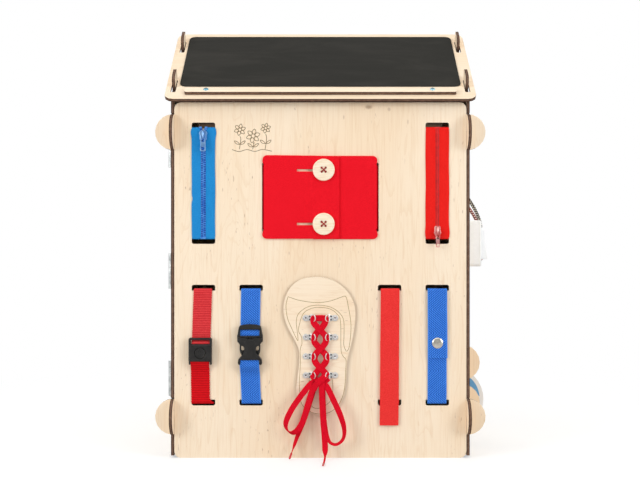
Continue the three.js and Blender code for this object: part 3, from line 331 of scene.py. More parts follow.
def pill(width, thickness, steps=5):  # the section of a woven band with soft edges
    half, line = width / 2 - thickness / 2, []
    for way in (1, -1):
        for step in range(steps + 1):
            line.append((way * (-half + 2 * half * step / steps), -way * thickness / 2))
        line.append((way * (width / 2 - thickness * 0.15), -way * thickness * 0.35))
        line.append((way * width / 2, 0))
        line.append((way * (width / 2 - thickness * 0.15), way * thickness * 0.35))
    return line


def band(route, width, thickness, steps=5):
    # Faces the front. A route's fourth number leans it back, and its fifth turns it on edge, in quarter turns.
    rings, trace = [], []
    travelled, across = 0, None
    for i, spot in enumerate(route):
        point = Vector(spot[:3])
        before, after = (Vector(p[:3]) for p in beside(route, i))
        travelled += (point - before).length
        along = (after - before).normalized()
        lean, turn = (*spot[3:], 0, 0)[:2]
        facing = along.cross(Vector((0, lean - 1, lean)))
        if across is None or facing.length > 0.25:
            side = facing.normalized()
            across = -side if across and side.dot(across) < 0 else side
        else:  # folds over without turning
            across = (across - along * across.dot(along)).normalized()
        wide = across * math.cos(turn * math.pi / 2) + along.cross(across) * math.sin(turn * math.pi / 2)
        normal = along.cross(wide)
        section = pill(width, thickness, steps)
        rings.append([point + wide * a + normal * b for a, b in section])
        trace += [(a, travelled, 0) for a, b in section]
    points, faces = skin(rings)
    return points, faces, trace


def strap(line, width, thickness, rib=None, flare=0):
    # A band that lies across X, along a line of (Y, Z, middle X). A flare widens its foot to the right.
    # A rib is its pitch, and its depth on the face and at the edges.
    flareTop, flareRun = 76, 5
    rings, trace = [], []
    travelled = 0
    for i, (y, z, x) in enumerate(line):
        before, after = beside(line, i)
        travelled += math.hypot(y - before[0], z - before[1])
        outY, outZ = sideways(before, after)
        wide, thick = width, thickness
        if rib:
            pitch, faceDip, edgeDip = rib
            dip = math.cos(2 * math.pi * travelled / pitch) - 1
            wide, thick = width + edgeDip * dip, thickness + faceDip * dip
        foot = flare * within((flareTop - z) / flareRun) ** 2
        section = pill(wide + foot, thick, 10)
        x += foot / 2
        rings.append([(x + a, y + b * outY, z + b * outZ) for a, b in section])
        trace += [(a, travelled, 0) for a, b in section]
    points, faces = skin(rings)
    return points, faces, trace


def evenly(line, gap):  # the same line with its points a gap apart
    spots = [Vector(p) for p in line]
    total = lengthOf(spots)
    count = max(2, round(total / gap))
    made, i, gone = [], 0, 0
    for step in range(count + 1):
        target = total * step / count
        while i < len(spots) - 2 and gone + (spots[i + 1] - spots[i]).length < target:
            gone += (spots[i + 1] - spots[i]).length
            i += 1
        reach = (spots[i + 1] - spots[i]).length
        made.append(tuple(spots[i].lerp(spots[i + 1], min(1, (target - gone) / reach if reach else 0))))
    return made


def spaced(low, high, gap):  # even places from low to high, no more than a gap apart
    count = max(1, math.ceil((high - low) / gap))
    return [low + (high - low) * i / count for i in range(count + 1)]


def eased(corners, radius, steps=5):  # a line of straight runs with round bends
    line = [Vector(corners[0])]
    for before, corner, after in zip(corners, corners[1:], corners[2:]):
        a, b, c = Vector(before), Vector(corner), Vector(after)
        reach = min(radius, (b - a).length * 0.45, (c - b).length * 0.45)
        start, end = b + (a - b).normalized() * reach, b + (c - b).normalized() * reach
        for step in range(steps + 1):
            t = step / steps
            line.append(start * (1 - t) ** 2 + b * 2 * t * (1 - t) + end * t**2)
    line.append(Vector(corners[-1]))
    return [tuple(p) for p in line]


def addPiece(name, shape, look, body="house", stands=(), angle=40):
    points, faces = shape[0], shape[1]
    mesh = bpy.data.meshes.new(name)
    mesh.from_pydata([place(p) for p in points], [], faces)
    if len(shape) > 2:
        trace = mesh.attributes.new("weave", "FLOAT_VECTOR", "POINT")
        trace.data.foreach_set("vector", [part for spot in shape[2] for part in spot])
    work = bmesh.new()
    work.from_mesh(mesh)
    bmesh.ops.remove_doubles(work, verts=work.verts, dist=weldReach)
    bmesh.ops.recalc_face_normals(work, faces=work.faces)
    work.to_mesh(mesh)
    work.free()
    mesh.shade_smooth()
    mesh.set_sharp_from_angle(angle=math.radians(angle))
    mesh.materials.append(looks[look])
    piece = bpy.data.objects.new(name, mesh)
    bpy.context.scene.collection.objects.link(piece)
    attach(piece, body)
    if stands:
        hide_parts(*stands)
    return piece


def dress(look, *nodes):
    for node in nodes:
        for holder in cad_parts[node].material_slots:
            holder.material = looks[look]


# Looks

wood = {
    "pale": paint(250, 232, 207),
    "warm": paint(243, 216, 182),
    "streak": paint(226, 190, 146),
    "fleck": paint(148, 100, 60),
    "burnt": paint(72, 50, 40),
    "singed": paint(134, 104, 86),
}


def birch(name, nodes, face, grain, across, tint=0.0, marks=(), under=0.0):
    # Veneer with its grain along one way, and laser-cut edges that show the three plies.
    # A mark is a brown spot of the veneer: X, Z, half width, half height and strength.
    look = Look(name)
    heights = [v.co.dot(Vector(face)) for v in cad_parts[nodes[0]].data.vertices]
    low, high = min(heights), max(heights)
    fibre = look.node("CombineXYZ", {}, (look.along(across), look.along(grain), look.along(face)))
    broad = look.noise((9, 2.2, 9), 3, 0.55, 0.4, point=fibre)
    fine = look.noise((420, 16, 420), 3, 0.6, point=fibre)
    figure = look.noise((38, 3.4, 38), 2, 0.5, 1.4, point=fibre)
    specks = look.noise((560, 120, 560), 1, 0.4, point=fibre)
    patches = look.noise((21, 12, 21), 1, point=fibre)
    rings = figure.maths("FRACT", figure * 9).from0to1(0.7, 1.0)
    colour = look.mix(broad.from0to1(0.35, 0.7) * 0.6 + tint, wood["pale"], wood["warm"])
    colour = look.mix(rings * 0.2 + fine.from0to1(0.45, 0.8) * 0.3, colour, wood["streak"])
    flecks = specks.from0to1(0.69, 0.77) * patches.from0to1(0.5, 0.66) * 0.4
    for x, z, wide, high, strength in marks:
        spot = place((x, 0, z))
        away = look.vector("SUBTRACT", look.point(), tuple(spot))
        away = look.vector("MULTIPLY", away, (1 / (wide * mm), 0, 1 / (high * mm)))
        reach = look.vector("LENGTH", away, (0, 0, 0), output=1) + (fine - 0.5) * 0.9
        flecks = flecks.most((1 - reach.from0to1(0.2, 1.0)) * strength)
    colour = look.mix(flecks, colour, wood["fleck"])
    normal = look.node("TexCoord", output="Normal")
    edge = 1 - look.along(face, normal).size().from0to1(0.45, 0.75)
    depth = (look.along(face) - low) * (1 / (high - low))
    core = 1 - (depth - 0.5).size().from0to1(0.13, 0.2)
    scorch = look.noise(260, 2)
    burnt = look.mix(core * 0.55 + scorch.from0to1(0.35, 0.75) * 0.35, wood["burnt"], wood["singed"])
    colour = look.mix(edge, colour, burnt)
    if under:  # painted shade: the side that faces into the house is darkened towards burnt brown, for the shade under the roof
        colour = look.mix((0 - look.along(face, normal)).from0to1(0.6, 0.9) * under, colour, wood["burnt"])
    height = fine * 0.6 + scorch * edge
    return look.finish(colour, fine * 0.12 + 0.5 + edge * 0.2, height, 0.0002, 0.35, specularIorLevel=0.2)


def fabric(name, deep, bright, height, depth, roughness=0.85, sheen=0.06, strength=0.7, dust=0.35):
    # height is a function of the look: 0 in the grooves and 1 on top of the threads. The colour follows it from deep to
    # bright, which paints shade into the grooves; the mottle is the fabric's own.
    look = Look(name)
    threads = height(look)
    mottle = look.noise(900, 3, 0.65)
    broad = look.noise(60, 2)
    share = (threads * (1 - dust) + mottle.from0to1(0.3, 0.7) * dust) * (broad * 0.25 + 0.85)
    # painted shade: darker in the grooves between the threads, lighter on their tops
    colour = look.mix(share, deep, bright)
    relief = threads + mottle * 0.35
    soft = {"sheenWeight": sheen, "sheenTint": bright, "sheenRoughness": 0.5, "specularIorLevel": 0.1}
    return look.finish(colour, roughness, relief, depth, strength, **soft)


def tapeThreads(look):
    along, across = look.along(wayZ), look.along(wayX)
    bend = across.maths("SINE", across * 2600) * 0.00012
    return (along + bend).wave(0.0011) * 0.6 + across.wave(0.0014) * 0.4


def feltFibres(look):
    return look.noise((520, 900, 520), 4, 0.75, 0.8)


def ribThreads(look):
    along, side = look.ribbonWays()
    return along.wave(3.0).from0to1(0.1, 0.7) * 0.65 + side.wave(0.9) * 0.2 + along.wave(0.75) * 0.15


def twillThreads(look):  # rows of dots on the slant, with plain selvedges
    slantTurns = 30  # millimetres along, after which the slant turns over
    along, side = look.ribbonWays()
    row = along.maths("PINGPONG", along, slantTurns) + side * 0.85
    dots = row.wave(2.9).from0to1(0.15, 0.7) * 0.75 + side.wave(2.4) * 0.25
    selvedge = side.size().from0to1(10.6, 11.4) * 0.8
    return dots.most(selvedge)


def loopPile(look):
    return look.noise(1100, 3, 0.7, 1.5)


def laceThreads(look):
    along, side = look.ribbonWays()
    return (along + side.size() * 1.1).wave(1.6) * 0.7 + side.wave(1.25) * 0.3


def plastic(name, dark, light, roughness, grain, coat=0.0):
    look = Look(name)
    pores = look.noise(1500, 3, 0.7)
    wear = look.noise(140, 3, 0.6)
    colour = look.mix(wear.from0to1(0.35, 0.75), dark, light)
    return look.finish(colour, wear * 0.15 + roughness, pores, 0.0001, grain, coatWeight=coat)


def metal(name, low, high, roughness, brushed=0.0):
    look = Look(name)
    smear = look.noise(90, 3, 0.6)
    lines = look.noise((300, 300, 5200), 2, 0.6)
    colour = look.mix(smear.from0to1(0.3, 0.75), low, high)
    rough = smear * 0.12 + lines * brushed + roughness
    return look.finish(colour, rough, lines * brushed + smear * 0.1, 0.00006, 0.3, metallic=1.0)


woodMarks = [
    (62, 449, 7, 4, 0.55), (88, 446, 3, 3, 0.3), (-87, 359, 0.9, 3, 0.6), (-125, 343, 0.8, 3.4, 0.4),
    (-97, 310, 0.9, 4, 0.5), (30, 436, 1.2, 4, 0.35), (112, 430, 1.4, 5, 0.3), (-40, 262, 0.8, 3, 0.4),
]
pitch = math.atan2(3, 4)
slopeOut = (0, -math.sin(pitch), math.cos(pitch))
slopeUp = (0, math.cos(pitch), math.sin(pitch))
backOut = (0, math.sin(pitch), math.cos(pitch))
backUp = (0, -math.cos(pitch), math.sin(pitch))

birchLooks = {  # nodes, the ways that they face and that the grain runs and crosses, tint, marks, shade beneath
    "frontBirch": (["front_panel"], wayY, wayZ, wayX, 0.0, woodMarks),
    "backBirch": (["back_panel"], wayY, wayZ, wayX, 0.1),
    "leftBirch": (["left_wall", "upper_door", "lower_door"], wayX, wayZ, wayY, 0.05),
    "rightBirch": (["right_wall"], wayX, wayZ, wayY, 0.05),
    "roofBirch": (["front_roof"], slopeOut, wayX, slopeUp, 0.15, (), 0.85),
    "backRoofBirch": (["back_roof"], backOut, wayX, backUp, 0.15, (), 0.85),
    "railBirch": (["chalk_rail"], slopeOut, wayX, slopeUp),
    "shoeBirch": (["shoe_plate"], wayY, wayX, wayZ),
    "bracketBirch": (["wheel_bracket_front"], wayY, wayZ, wayX, 0.05),
    "rearBracketBirch": (["wheel_bracket_rear"], wayY, wayZ, wayX, 0.05),
}
plasticLooks = {  # dark, light, roughness, grain, coat
    "blackPlastic": (paint(18, 16, 15), paint(34, 32, 30), 0.32, 0.25),
    "whitePlastic": (paint(249, 250, 250), paint(254, 255, 255), 0.3, 0.05, 0.3),
    "blueTeeth": (paint(36, 110, 204), paint(96, 166, 232), 0.3, 0.1),
    "blueEdge": (paint(6, 62, 150), paint(16, 84, 176), 0.6, 0.3),
    "redTeeth": (paint(208, 12, 16), paint(238, 28, 26), 0.4, 0.1),
    "redEdge": (paint(150, 4, 10), paint(180, 8, 14), 0.6, 0.3),
    "clearTip": (paint(196, 50, 66), paint(226, 110, 116), 0.25, 0.05, 0.4),
}
metalLooks = {  # dark, light, roughness, brushed
    "nickel": (paint(206, 200, 188), paint(244, 240, 230), 0.12),
    "zinc": (paint(186, 190, 190), paint(240, 242, 240), 0.2, 0.2),
    "chrome": (paint(232, 232, 230), paint(255, 255, 254), 0.3),
    "bluedZinc": (paint(110, 170, 194), paint(186, 222, 230), 0.22, 0.1),
    "bluePaint": (paint(90, 150, 222), paint(170, 208, 245), 0.24),
    "redPaint": (paint(222, 112, 112), paint(255, 206, 200), 0.24),
}
fabricLooks = {  # dark, light, threads and their depth, roughness, sheen, strength, dust
    "blueTape": (paint(18, 118, 190), paint(46, 156, 224), tapeThreads, 0.00025),
    "redTape": (paint(220, 18, 16), paint(250, 44, 36), tapeThreads, 0.00025),
    "redFelt": (paint(218, 8, 26), paint(250, 30, 46), feltFibres, 0.0005, 0.95, 0.1, 0.6, 0.5),
    "ribbedWebbing": (paint(176, 2, 12), paint(228, 18, 28), ribThreads, 0.0004, 0.7),
    "glossyWebbing": (paint(186, 8, 20), paint(240, 76, 80), ribThreads, 0.0005, 0.5),
    "twillWebbing": (paint(6, 62, 170), paint(76, 148, 244), twillThreads, 0.0005, 0.75, 0.06, 0.7, 0.15),
    "hookLoop": (paint(222, 36, 36), paint(250, 70, 66), loopPile, 0.0005, 0.92, 0.1, 0.6, 0.5),
    "redLace": (paint(190, 0, 24), paint(250, 18, 48), laceThreads, 0.0004, 0.8),
}

looks = {}
for make, table in ((birch, birchLooks), (plastic, plasticLooks), (metal, metalLooks), (fabric, fabricLooks)):
    for name, settings in table.items():
        looks[name] = make(name, *settings)
for name, settings in birchLooks.items():
    dress(name, *settings[0])
for level in ("upper", "middle", "lower"):
    dress("zinc", f"{level}_hinge_wall_leaf", f"{level}_hinge_door_leaf")

print("looks made:", len(looks))


# Lace ends: a bow loop and a tail each

lace = {
    "width": 7.5,
    "thickness": 1.4,
    "tagLength": 11,
    "tagWidth": 2.8,
    "taper": 12,
    "waist": 0.34,  # of the width, at the tag
    "narrow": {"left": 12, "right": 36},  # how long it stays narrow before its end
    "left": [
        (-8.5, -9.5, 97), (-12.8, -11, 95.5), (-24.4, -13.5, 81.4), (-36, -15, 64.8, 0, 0.1), (-43, -15, 50, 0, 0.25),
        (-43.6, -14.2, 41.5, 0, 0.6), (-40.2, -13.6, 36, 0, 0.85), (-34.5, -13.2, 34.6, 0, 0.35),
        (-28.4, -13.2, 38.5, 0, 0.05), (-21.9, -13, 49.9), (-16.9, -12.6, 66.5), (-11.9, -12, 83), (-7.6, -10.8, 93.5),
        (-6.6, -8.2, 95.5), (-8.4, -6.4, 90), (-12.6, -5.4, 76), (-17, -4.8, 62), (-21.5, -4.8, 49, 0, 0.1),
        (-26, -5.2, 37, 0, 0.4), (-30.6, -6.4, 25, 0, 0.65), (-34.6, -9, 13.5, 0, 0.75), (-37.4, -14, 6.2, 0, 0.8),
        (-39, -20, 2.6, 0, 0.8),
    ],
    "right": [
        (4.5, -9.5, 96), (8.8, -11.5, 91.4), (17.1, -14, 74.8), (25.6, -15, 56, 0, 0.15), (30.2, -15, 39, 0, 0.5),
        (28.6, -14.5, 26.5, 0, 0.75), (20.6, -13.5, 19.6, 0, 0.85), (13, -12, 21.3, 0, 0.8), (8.5, -10.6, 28.3, 0, 0.5),
        (5.5, -9.4, 40, 0, 0.1), (3.9, -9, 54.9), (3.1, -9, 74.8), (2.6, -9, 91.4), (2.2, -9.6, 97.5), (2, -11.4, 98),
        (1.8, -12.4, 90), (2.2, -12.2, 76), (3, -12, 60), (3.8, -12, 46), (5.2, -12.4, 31), (6, -14, 16, 0.2),
        (6, -20, 6.8, 0.7), (5, -32, 2.4, 1), (4, -46, 1.8, 1), (3.2, -58, 1.6, 1),
    ],
}


def laceTag(route):  # the clear tip pressed round the lace's end
    spots = [Vector(p[:3]) for p in route]
    end, before = spots[-1], spots[-3]
    along = (end - before).normalized()
    start = end - along * lace["tagLength"]
    line = [start + along * lace["tagLength"] * step / 8 for step in range(9)]
    wide = [lace["tagWidth"] / 2 * share for share in (1.06, 1.06, 1.0, 1.0, 1.0, 1.0, 1.0, 0.95, 0.7)]
    return tube(line, wide, 12, 0.6)


def taperedBand(route, width, thickness, narrow):  # gathers to its tag's width, a length before its end
    points, faces, trace = band(route, width, thickness)
    count = len(points) // len(route)
    total = lengthOf([p[:3] for p in route])
    narrowed = []
    gone = 0
    for i, spot in enumerate(route):
        centre = Vector(spot[:3])
        gone += (centre - Vector(beside(route, i)[0][:3])).length
        scale = lace["waist"] + (1 - lace["waist"]) * eased01(within((total - gone - narrow) / lace["taper"]))
        for p in points[i * count : (i + 1) * count]:
            narrowed.append(centre + (Vector(p) - centre) * scale)
    return narrowed, faces, trace


for side in ("left", "right"):
    route = curveThrough([(*p, 0, 0)[:5] for p in lace[side]], 7)
    end = taperedBand(route, lace["width"], lace["thickness"], lace["narrow"][side])
    nodeName = "lace_end_" + side
    piece = addPiece("laceEnd." + side, end, "redLace", stands=[nodeName])
    tag = addPiece("laceTag." + side, laceTag(route), "clearTip")
    centreLine = [place(p[:3]) for p in route]
    print("lace", side, round(lengthOf(centreLine), 4))


# Pull cord: a loop through two holes of the right wall

cord = {
    "radius": 2.3,
    "route": [
        (184, 141, 352), (192, 141, 352), (198.5, 141, 349.8), (205, 141, 343.5), (211.7, 141, 334.5),
        (220, 141.5, 320), (225.4, 142, 306), (228, 142.8, 290), (229.2, 143.4, 275), (229.2, 145.2, 263.5),
        (229, 149.2, 256), (228.8, 154.8, 252.8), (228.8, 160.4, 256), (229, 164, 263.5), (229, 165.4, 275),
        (227.6, 165.2, 291), (224.8, 165, 305), (220.4, 165, 315), (213.4, 165, 325.5), (206, 165, 335),
        (199, 165, 341.8), (192, 165, 344), (184, 165, 344),
    ],
}


def braid(name):
    look = Look(name)
    along, around = look.ribbonWays()
    strandPitch, colourPitch, slant = 3.4, 220, 0.55
    leftward = (along + around * slant).wave(strandPitch)
    rightward = (along - around * slant).wave(strandPitch)
    strands = leftward.most(rightward)
    middle = along.wave(colourPitch).from0to1(0.4, 0.6)
    dark = look.mix(middle, paint(150, 20, 40), paint(34, 40, 42))
    colour = look.mix(leftward.from0to1(0.45, 0.6) * (1 - rightward.from0to1(0.5, 0.7)), dark, paint(248, 238, 222))
    shade = strands.from0to1(0.1, 0.8)
    colour = look.mix(shade, paint(30, 20, 20), colour)
    return look.finish(colour, 0.8, strands, 0.0006, 0.8, sheenWeight=0.2)


def wovenTube(line, radius, sides):
    points, faces = tube(line, radius, sides)
    trace, gone = [], 0
    for i, spot in enumerate(line):
        gone += (Vector(spot) - Vector(beside(line, i)[0])).length
        trace += [(2 * math.pi * radius * j / sides, gone, 0) for j in range(sides)]
    return points, faces, trace


cordLine = curveThrough(cord["route"], 6)
looks["braidedCord"] = braid("braidedCord")
cordShape = wovenTube(cordLine, cord["radius"], 14)
cordPiece = addPiece("pullCord", cordShape, "braidedCord", stands=["pull_cord"])
cordPlaces = [place(p) for p in cordLine]
print("cord", round(lengthOf(cordPlaces), 4))


# Blackboard, and the screws of the chalk rail

boardLook = Look("blackboard")
smudge = boardLook.noise((7, 26, 26), 5, 0.65, 0.8)
tooth = boardLook.noise(2200, 2)
boardColour = boardLook.mix(smudge.from0to1(0.35, 0.8), paint(38, 37, 33), paint(52, 50, 46))
looks["blackboard"] = boardLook.finish(boardColour, smudge * 0.1 + 0.72, tooth, 0.0001, 0.3, specularIorLevel=0.15)
dress("blackboard", "blackboard")

screw = {"radius": 3.4, "dome": 1.5, "slot": 0.75}


def screwHead(radius, dome, slotHalf):  # a cross-slot head facing the front, its back at Y 0
    profile = [(0.001, 0.4), (radius, 0.4), (radius, 0)]
    for step in range(1, 7):
        angle = math.pi / 2 * step / 6
        profile.append((max(radius * math.cos(angle), 0.001), -dome * math.sin(angle)))
    head = turned(profile, 0, 0, 24)
    cross = []
    for long, high in ((radius * 0.62, slotHalf), (slotHalf, radius * 0.62)):
        cross.append(plate(roundedBox(-long, -high, long, high, slotHalf * 0.5, 3), -dome - 0.12, -dome * 0.6, 0.08))
    return head, together(cross)


def turnedTo(shape, direction, spot):  # from facing the front to facing a direction, at a spot
    turn = Vector((0, -1, 0)).rotation_difference(Vector(direction))
    return [tuple(turn @ Vector(p) + Vector(spot)) for p in shape[0]], shape[1]


# painted shade: dark grey pieces set in the screws' cross slots and the lace rings' hollows stand in for the shade in
# these recesses
slotLook = Look("screwSlot")
slotNoise = slotLook.noise(800)
looks["screwSlot"] = slotLook.finish(slotLook.mix(slotNoise, paint(36, 36, 36), paint(66, 66, 66)), 0.5, metallic=0.3)


def addScrew(name, direction, spot, body, look):
    head, cross = screwHead(screw["radius"], screw["dome"], screw["slot"] / 2)
    addPiece(name, turnedTo(head, direction, spot), look, body)
    addPiece(name + ".slot", turnedTo(cross, direction, spot), "screwSlot", body)


rail = {"screws": (-146.4, 143.7), "up": 1.2, "out": 2.0}
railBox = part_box("chalk_rail")
railMiddle = (railBox[0] + railBox[1]) / 2


def onRail(x, along, out):  # from the rail's middle: along the slope, and out of it
    up, away = Vector(slopeUp), Vector(slopeOut)
    base = Vector((0, (railMiddle.y - faceY) / mm, railMiddle.z / mm))
    return base + up * along + away * out + Vector((x, 0, 0))


for i, x in enumerate(rail["screws"], 1):
    addScrew(f"railScrew.{i}", slopeOut, onRail(x, rail["up"], rail["out"]), "house", "bluedZinc")

print("roof done")


# Zippers

zipper = {
    "half": 15.0,
    "slotHalf": 14.6,
    "thickness": 0.9,
    "middleY": -0.85,
    "behindY": 4.8,
    "top": 423.2,
    "bottom": 280.2,
    "tail": 14,
    "bend": 1.6,
    "cornerRun": 6,  # over which the tape widens from its slot
    "opening": {"from": 6, "run": 12, "half": 2.1},  # above the blue slider and below the red one
    "chainY": -1.75,
    "firstTooth": 2.2,
    "lastTooth": 1.2,
    "pullY": -7.2,
    "pullHalf": 0.58,
    "blue": {
        "x": -149.6, "slider": 412.6, "lead": 1, "bulge": (417, 1.3, 7), "notch": (331.5, 1.0, 4), "ruffle": 0.9,
        "pitch": 2.9, "tooth": 0.8, "reach": 3.0, "wide": 0.92,
        "pull": [(2.6, -20.9), (3.7, -20.2), (4.0, -18.8), (3.5, -12), (3.45, -4), (3.3, 0.2), (2.7, 0.7)],
        "windows": [
            [(1.5, -9.4), (1.95, -8.8), (1.95, -1.1), (1.6, -0.7)],
            [(1.9, -19.6), (2.25, -19.1), (2.25, -15.9), (1.9, -15.5)],
        ],
    },
    "red": {
        "x": 149.6, "slider": 290.3, "lead": -1, "bulge": (288, 0.8, 7), "notch": (345, 0.1, 4), "ruffle": 0.25,
        "pitch": 1.5, "tooth": 0.6, "reach": 2.3, "wide": 0.8,
        "pull": [(1.9, -20.9), (2.6, -20.2), (2.8, -18.6), (2.7, -13), (4.1, -3), (4.2, 0.2), (3.4, 0.7)],
        "windows": [
            [(0.9, -10.4), (1.25, -10), (2.9, -1.2), (2.5, -0.7)],
            [(1.0, -19.9), (1.5, -19.4), (1.5, -16.8), (1.0, -16.4)],
        ],
    },
}


def tapeGap(z, kind):  # half the gap between the tapes where the slider parts them
    opening = zipper["opening"]
    edge = kind["slider"] + kind["lead"] * opening["from"]
    past = (z - edge) * kind["lead"]
    if past < 0:
        return 0.0
    return opening["half"] * math.sin(min(1.0, past / opening["run"] + 0.25) * math.pi * 0.62)


def swell(z, height, depth, reach):
    return depth * math.exp(-(((z - height) / reach) ** 2))


def tapeHalf(z, kind, side):
    inside = min(abs(z - zipper["top"]), abs(z - zipper["bottom"]))
    share = min(1, inside / zipper["cornerRun"])
    wide = zipper["slotHalf"] + (zipper["half"] - zipper["slotHalf"]) * share
    wide += swell(z, *kind["bulge"])
    if side < 0:  # only the left tape is drawn in
        wide -= swell(z, *kind["notch"])
    wide += 0.2 * math.sin(z * 0.09 + side * 2)
    return min(wide, zipper["slotHalf"]) if inside < 1 else wide


def zipTape(kind):  # its tails turn back behind the panel
    corners = [
        (0, zipper["behindY"], zipper["top"] - zipper["tail"]),
        (0, zipper["behindY"], zipper["top"]),
        (0, zipper["middleY"], zipper["top"]),
        (0, zipper["middleY"], zipper["bottom"]),
        (0, zipper["behindY"], zipper["bottom"]),
        (0, zipper["behindY"], zipper["bottom"] + zipper["tail"]),
    ]
    line = evenly(eased(corners, zipper["bend"]), 1.2)
    columns, seam = 10, 0.02
    halves = []
    for side in (-1, 1):
        rings = []
        for i, (_, y, z) in enumerate(line):
            before, after = beside(line, i)
            outY, outZ = sideways(before[1:], after[1:])
            inner, outer = seam + tapeGap(z, kind), tapeHalf(z, kind, side)
            ring = []
            for level, order in ((-0.5, range(columns + 1)), (0.5, range(columns, -1, -1))):
                for step in order:
                    share = step / columns
                    x = side * (inner + (outer - inner) * share)
                    soft = 0.25 if step in (0, columns) else 0.5
                    ripple = -0.18 * math.sin(share * math.pi) - 0.12 * math.sin(z * 0.21 + share * 5 + side)
                    thick = math.copysign(soft, level) * zipper["thickness"]
                    dip = kind["ruffle"] * max(0, 1 - abs(z - zipper["top"]) / 3) * math.sin(x * 0.8 + 1) ** 2
                    ring.append((kind["x"] + x, y + outY * thick + ripple * (y < 0), z + outZ * thick - dip))
            rings.append(ring)
        halves.append(skin(rings))
    return together(halves)


def zipChain(kind):
    teeth = []
    low, high = zipper["bottom"] + zipper["firstTooth"], zipper["top"] - zipper["lastTooth"]
    count = int((high - low) / kind["pitch"])
    wide = [kind["tooth"] * share for share in (0.8, 1.0, 0.92, 0.6)]
    for i in range(count):
        for side in (-1, 1):
            z = low + (i + (0.5 if side > 0 else 0)) * kind["pitch"]
            gap = tapeGap(z, kind)
            start, end = kind["x"] + side * (gap - 0.45), kind["x"] + side * (gap + kind["reach"])
            y = zipper["chainY"]
            middle = (start + end) / 2
            line = [(start, y - 0.1, z), (start + side * 0.4, y - 0.25, z), (middle, y - 0.3, z), (end, y + 0.25, z)]
            teeth.append(tube(line, wide, 6, 0.9))
    for end in (low - 1.0, high + 0.4) if kind["lead"] > 0 else (low - 0.4, high):
        gap = tapeGap(end, kind)
        for side in (-1, 1):
            x = kind["x"] + side * (gap + 1.7)
            teeth.append(moved(plate(roundedBox(-1.7, -1.3, 1.7, 1.3, 0.5, 3), -2.7, -1.1, 0.3), x, 0, end))
    return together(teeth)


def zipEdge(kind):  # the thick edge that each row of teeth is set on
    edges = []
    for side in (-1, 1):
        line = []
        for z in spaced(zipper["bottom"] + 1, zipper["top"] - 0.8, 3):
            line.append((kind["x"] + side * (tapeGap(z, kind) + kind["reach"] * 0.5), zipper["chainY"] + 0.3, z))
        edges.append(tube(line, kind["reach"] * 0.5, 8, 0.3))
    return together(edges)


sliderSize = {"front": -4.7, "back": -2.9, "crownFoot": -4.3, "crownTop": -8.95, "crownHalf": 5.6, "crownWide": 1.35}


def zipSlider(lead):
    right = [(3.6, -6.4), (4.3, -5.6), (4.2, -2.0), (5.6, 1.6), (5.75, 2.6), (4.4, 5.2), (2.6, 6.4)]
    outline = bothSides([(x, z * lead) for x, z in right])
    body = plate(outline, sliderSize["front"], sliderSize["back"], 0.55, steps=3)
    lips = []
    for side in (-1, 1):
        lip = onSide(side, roundedBox(3.8, -5.4, 5.0, 1.4, 0.4, 3))
        lips.append(plate([(x, z * lead) for x, z in lip], -3.4, -1.5, 0.25))
    half, foot = sliderSize["crownHalf"], sliderSize["crownFoot"]
    arch = []
    for step in range(17):
        angle = math.pi * step / 16
        lift = math.sin(angle) ** 0.55
        arch.append((0, foot + (sliderSize["crownTop"] - foot) * lift, half * math.cos(angle)))
    crown = tube(arch, sliderSize["crownWide"], 10, 0.5)
    return together([body, *lips, crown])


def zipPull(kind):
    windows = [bothSides(right) for right in kind["windows"]]
    return plate(bothSides(kind["pull"]), -zipper["pullHalf"], zipper["pullHalf"], 0.25, windows, 3)


for colour in ("blue", "red"):
    kind = zipper[colour]
    addPiece(colour + "ZipTape", zipTape(kind), colour + "Tape", "house", [colour + "_zip_tape"])
    addPiece(colour + "ZipChain", zipChain(kind), colour + "Teeth", "house")
    addPiece(colour + "ZipEdge", zipEdge(kind), colour + "Edge", "house")
    slider, pull = zipSlider(kind["lead"]), zipPull(kind)
    for name, (points, faces), y in (("Slider", slider, 0), ("Pull", pull, zipper["pullY"])):
        narrowed = [(x * kind["wide"], deep, z) for x, deep, z in points]
        shape = moved((narrowed, faces), kind["x"], y, kind["slider"])
        part = name.lower()
        addPiece(f"{colour}Zip{name}", shape, colour + "Paint", f"{colour}_{part}", [f"{colour}_zip_{part}"])

print("zippers done")


# Buttoned felt

felt = {
    "thickness": 1.7,
    "bottom": 280.3,
    "top": 387.2,
    "corner": 6,
    "underY": -1.2,
    "overY": -3.25,
    "overEdge": 24.2,
    "underEdge": -9,
    "leftEdge": -74.6,
    "rightEdge": 73.4,
    "leftDraw": [(0, 0.2), (288, 0.2), (291, 2.2), (375, 2.2), (378, 0.6), (400, 0.6)],
    "rightDraw": [(0, 0), (288, 0), (291, 1.9), (325, 2.3), (375, 2), (378, 0.6), (400, 0.6)],
    "drawRun": 14,
    "slot": 72.1,
    "slotHalf": 41,
    "slotBend": 2.0,
    "behindY": 5.2,
    "tail": 12,
    "hidden": 17,  # how much of a flap's width goes into its slot
    "climb": (12, 11),  # how far before the under flap's edge the over flap starts to rise, and over what width
    "droop": 1.7,
    "underTopGap": 0.9,
    "underBottomDrop": 0.4,
    "bevel": 0.45,
    "rows": 32,
    "slit": (-30, 7, 3.0),  # left, right and height of a button loop's opening
    "buttonSpread": 34.5,
}
feltMiddle = (felt["bottom"] + felt["top"]) / 2


def feltHalfHeight(fromEdge, full):
    radius = felt["corner"]
    if fromEdge >= radius:
        return full
    return full - radius + math.sqrt(max(0, radius**2 - (radius - fromEdge) ** 2))


def drawnIn(x, z):  # the ends are drawn a little towards the middle where they enter their slots
    edge, line = (felt["leftEdge"], felt["leftDraw"]) if x < 0 else (felt["rightEdge"], felt["rightDraw"])
    share = max(0, 1 - abs(x - edge) / felt["drawRun"])
    for (low, first), (high, last) in zip(line, line[1:]):
        if low <= z <= high:
            return x - math.copysign(first + (last - first) * (z - low) / (high - low), x) * share
    return x


